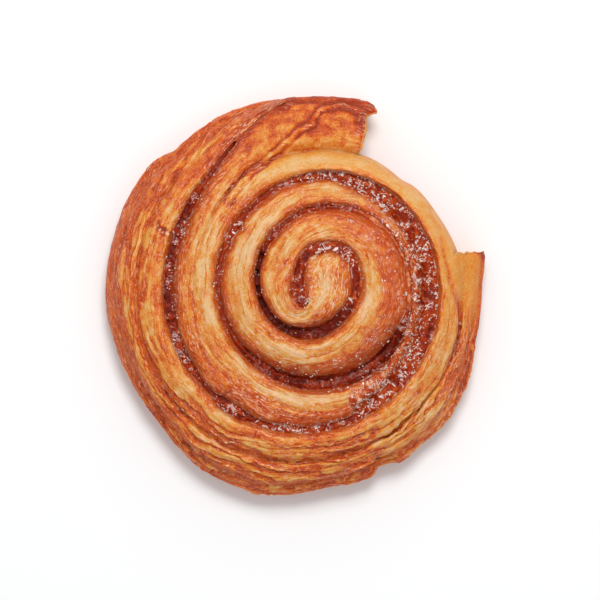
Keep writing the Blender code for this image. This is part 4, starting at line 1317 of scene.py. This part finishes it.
def grown_on(name, host, tree, values):
    """A plain mesh object of what a node tree grows on a copy of the host's mesh."""
    mesh = host.data.copy()
    made = bpy.data.objects.new(name, mesh)
    bpy.context.scene.collection.objects.link(made)
    grower = made.modifiers.new("grower", "NODES")
    grower.node_group = tree
    sockets = {item.name: item.identifier for item in tree.interface.items_tree if item.in_out == "INPUT"}
    for key, value in values.items():
        grower[sockets[key]] = value
    evaluated = made.evaluated_get(bpy.context.evaluated_depsgraph_get())
    grown = bpy.data.meshes.new_from_object(evaluated)
    made.modifiers.remove(grower)
    made.data = grown
    bpy.data.meshes.remove(mesh)
    return made


def size_property(name, description, default, low, high):
    return FloatProperty(name=name, description=f"{description}, mm", default=default, min=low, max=high)


class RollSizes(bpy.types.PropertyGroup):
    """Sizes of the roll's relief, in millimetres."""

    fold_spacing: size_property("Fold Spacing", "Width of one fold of leaves on the crown", 2.6, 1, 6)
    fold_height: size_property("Fold Height", "How far folds stand above each other", 0.32, 0, 1)
    leaf_spacing: size_property("Leaf Spacing", "Width of one leaf of dough on the crown", 1.1, 0.4, 4)
    leaf_height: size_property("Leaf Height", "How far leaves stand above each other", 0.24, 0, 1)
    torn_spacing: size_property("Torn Leaf Spacing", "Width of the wrap's torn leaves", 2.2, 1, 6)
    torn_height: size_property("Torn Leaf Height", "Drop at the edge of a torn leaf", 0.95, 0, 2)
    filling_height: FloatProperty(
        name="Filling Relief", description="How lumpy the filling is, as a share", default=1.0, min=0, max=2,
        subtype="FACTOR",
    )  # fmt: skip
    crystal_density: FloatProperty(
        name="Crystals", description="Sugar crystals for each square millimetre", default=1.3, min=0, max=20
    )
    crystal_size: size_property("Crystal Size", "Radius of a sugar crystal before it is stretched", 0.36, 0.05, 1)
    seed: IntProperty(name="Seed", description="Which scatter of crystals is made", default=3, min=0)


def colour_property(name, description, default):
    return FloatVectorProperty(
        name=name, description=description, subtype="COLOR", size=3, min=0, max=1, default=default
    )


class RollColours(bpy.types.PropertyGroup):
    """Colours of the crust and the filling."""

    pale: colour_property("Pale Dough", "Leaves that hardly browned", (0.68, 0.45, 0.23))
    golden: colour_property("Golden Crust", "Lightly baked crust", (0.66, 0.305, 0.054))
    amber: colour_property("Amber Crust", "Well baked crust", (0.64, 0.178, 0.018))
    brown: colour_property("Brown Crust", "Edges that baked darker", (0.54, 0.074, 0.006))
    dark: colour_property("Dark Crust", "The darkest edges and creases", (0.31, 0.030, 0.004))
    stain: colour_property("Stained Dough", "Dough that has soaked up filling", (0.46, 0.062, 0.007))
    rosy: colour_property("Rosy Crust", "Thin egg-washed skin that lets the filling shine through", (0.66, 0.24, 0.105))
    # The colour of the painted sheen on the crowns, a painted highlight
    painted_sheen: colour_property("Painted Sheen", "Painted sheen on the egg-washed crowns", (0.77, 0.50, 0.34))
    # The colour of the painted glints, a painted highlight
    fleck: colour_property("Painted Glint", "Painted highlights on ridges that catch the light", (0.76, 0.52, 0.36))
    syrup: colour_property("Syrup", "The filling in its hollows", (0.12, 0.006, 0.001))
    cinnamon: colour_property("Cinnamon", "The body of the filling", (0.31, 0.023, 0.001))
    toffee: colour_property("Toffee", "The tops of the filling's lumps", (0.48, 0.080, 0.010))
    # Also the colour of the painted highlights among the sugar squiggles
    sugar: colour_property("Sugar", "Sugar that crystallised", (0.88, 0.80, 0.74))
    syrupy_sugar: colour_property("Wet Sugar", "Sugar that soaked up syrup", (0.60, 0.36, 0.27))


class ROLL_OT_dough(bpy.types.Operator):
    """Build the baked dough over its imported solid"""

    bl_idname = "roll.dough"
    bl_label = "Baked Dough"

    def execute(self, context):
        material = crust_material(context.scene.roll_colours)
        made = grid_mesh("baked_dough", *dress_dough(context.scene.roll_sizes), material)
        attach(made, "root")
        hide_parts("dough")
        return {"FINISHED"}


class ROLL_OT_filling(bpy.types.Operator):
    """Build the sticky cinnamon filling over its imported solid"""

    bl_idname = "roll.filling"
    bl_label = "Cinnamon Filling"

    def execute(self, context):
        material = filling_material(context.scene.roll_colours)
        made = grid_mesh("sticky_filling", *dress_filling(context.scene.roll_sizes), material)
        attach(made, "root")
        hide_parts("cinnamon_layer")
        return {"FINISHED"}


class ROLL_OT_sugar(bpy.types.Operator):
    """Strew sugar crystals over the filling and the dough beside it"""

    bl_idname = "roll.sugar"
    bl_label = "Sugar Crystals"

    def execute(self, context):
        sizes = context.scene.roll_sizes
        tree = sugar_tree(sugar_material(context.scene.roll_colours))
        values = {
            "Crystals per Square Metre": sizes.crystal_density / MM**2,
            "Crystal Size": sizes.crystal_size * MM,
            "Seed": sizes.seed,
        }
        for name, host in (("sugar_on_filling", "sticky_filling"), ("sugar_on_dough", "baked_dough")):
            made = grown_on(name, bpy.data.objects[host], tree, values)
            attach(made, "root")
        return {"FINISHED"}


# The floor, the lamp at the window, the light of the room and the camera, in metres and watts
FLOOR_HALF = 1.5
FLOOR_COLOUR = (0.862, 0.87, 0.874, 1)
LAMP_PLACE = (0.06, 0.41, 0.86)
LAMP_DISTANCE = 0.95
LAMP_SIZE = 0.34
LAMP_POWER = 5.6
SKY_STRENGTH = 0.68
CAMERA_PLACE = (0.0012, -0.00135, 1.008)
CAMERA_LENS, CAMERA_SENSOR, CAMERA_NEAREST = 200, 36, 0.01


class ROLL_OT_stage(bpy.types.Operator):
    """Set up the pale floor, the soft light and the camera straight above"""

    bl_idname = "roll.stage"
    bl_label = "Stage"

    def execute(self, context):
        scene = context.scene
        mesh = bpy.data.meshes.new("pale_floor")
        half = FLOOR_HALF
        mesh.from_pydata([(-half, -half, 0), (half, -half, 0), (half, half, 0), (-half, half, 0)], [], [(0, 1, 2, 3)])
        finish, tree, shader = new_material("pale_floor")
        matt = {"Base Color": FLOOR_COLOUR, "Roughness": 0.9, "Specular IOR Level": 0.0}
        set_sockets(tree, shader.inputs, matt)
        mesh.materials.append(finish)
        floor = bpy.data.objects.new("pale_floor", mesh)
        scene.collection.objects.link(floor)

        window = bpy.data.lights.new("window", "AREA")
        window.shape, window.size, window.energy = "DISK", LAMP_SIZE, LAMP_POWER
        lamp = bpy.data.objects.new("window", window)
        x, y, z = lamp.location = LAMP_PLACE
        lamp.rotation_euler = (-np.arctan2(y, z), np.arctan2(x, LAMP_DISTANCE), 0)
        scene.collection.objects.link(lamp)

        scene.world = bpy.data.worlds.new("soft_room")
        scene.world.use_nodes = True
        sky = scene.world.node_tree.nodes["Background"]
        sky.inputs["Color"].default_value = (1.0, 1.0, 1.0, 1)
        sky.inputs["Strength"].default_value = SKY_STRENGTH

        camera = bpy.data.cameras.new("camera")
        camera.lens, camera.sensor_width, camera.clip_start = CAMERA_LENS, CAMERA_SENSOR, CAMERA_NEAREST
        scene.camera = bpy.data.objects.new("camera", camera)
        scene.camera.location = CAMERA_PLACE
        scene.collection.objects.link(scene.camera)
        scene.view_settings.view_transform = "Standard"
        return {"FINISHED"}


class ROLL_PT_panel(bpy.types.Panel):
    bl_label = "Cinnamon Roll"
    bl_space_type = "VIEW_3D"
    bl_region_type = "UI"
    bl_category = "Cinnamon Roll"

    def draw(self, context):
        for group in (context.scene.roll_sizes, context.scene.roll_colours):
            box = self.layout.box()
            for key in group.__annotations__:
                box.prop(group, key)
        for operator in OPERATORS:
            self.layout.operator(operator.bl_idname)


OPERATORS = (ROLL_OT_dough, ROLL_OT_filling, ROLL_OT_sugar, ROLL_OT_stage)
CLASSES = (RollSizes, RollColours, *OPERATORS, ROLL_PT_panel)


def register():
    for one in CLASSES:
        bpy.utils.register_class(one)
    bpy.types.Scene.roll_sizes = PointerProperty(type=RollSizes)
    bpy.types.Scene.roll_colours = PointerProperty(type=RollColours)


def unregister():
    del bpy.types.Scene.roll_colours
    del bpy.types.Scene.roll_sizes
    for one in reversed(CLASSES):
        bpy.utils.unregister_class(one)


def main():
    register()
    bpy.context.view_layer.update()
    bpy.ops.roll.dough()
    bpy.ops.roll.filling()
    bpy.ops.roll.sugar()
    bpy.ops.roll.stage()


if __name__ == "__main__":
    main()
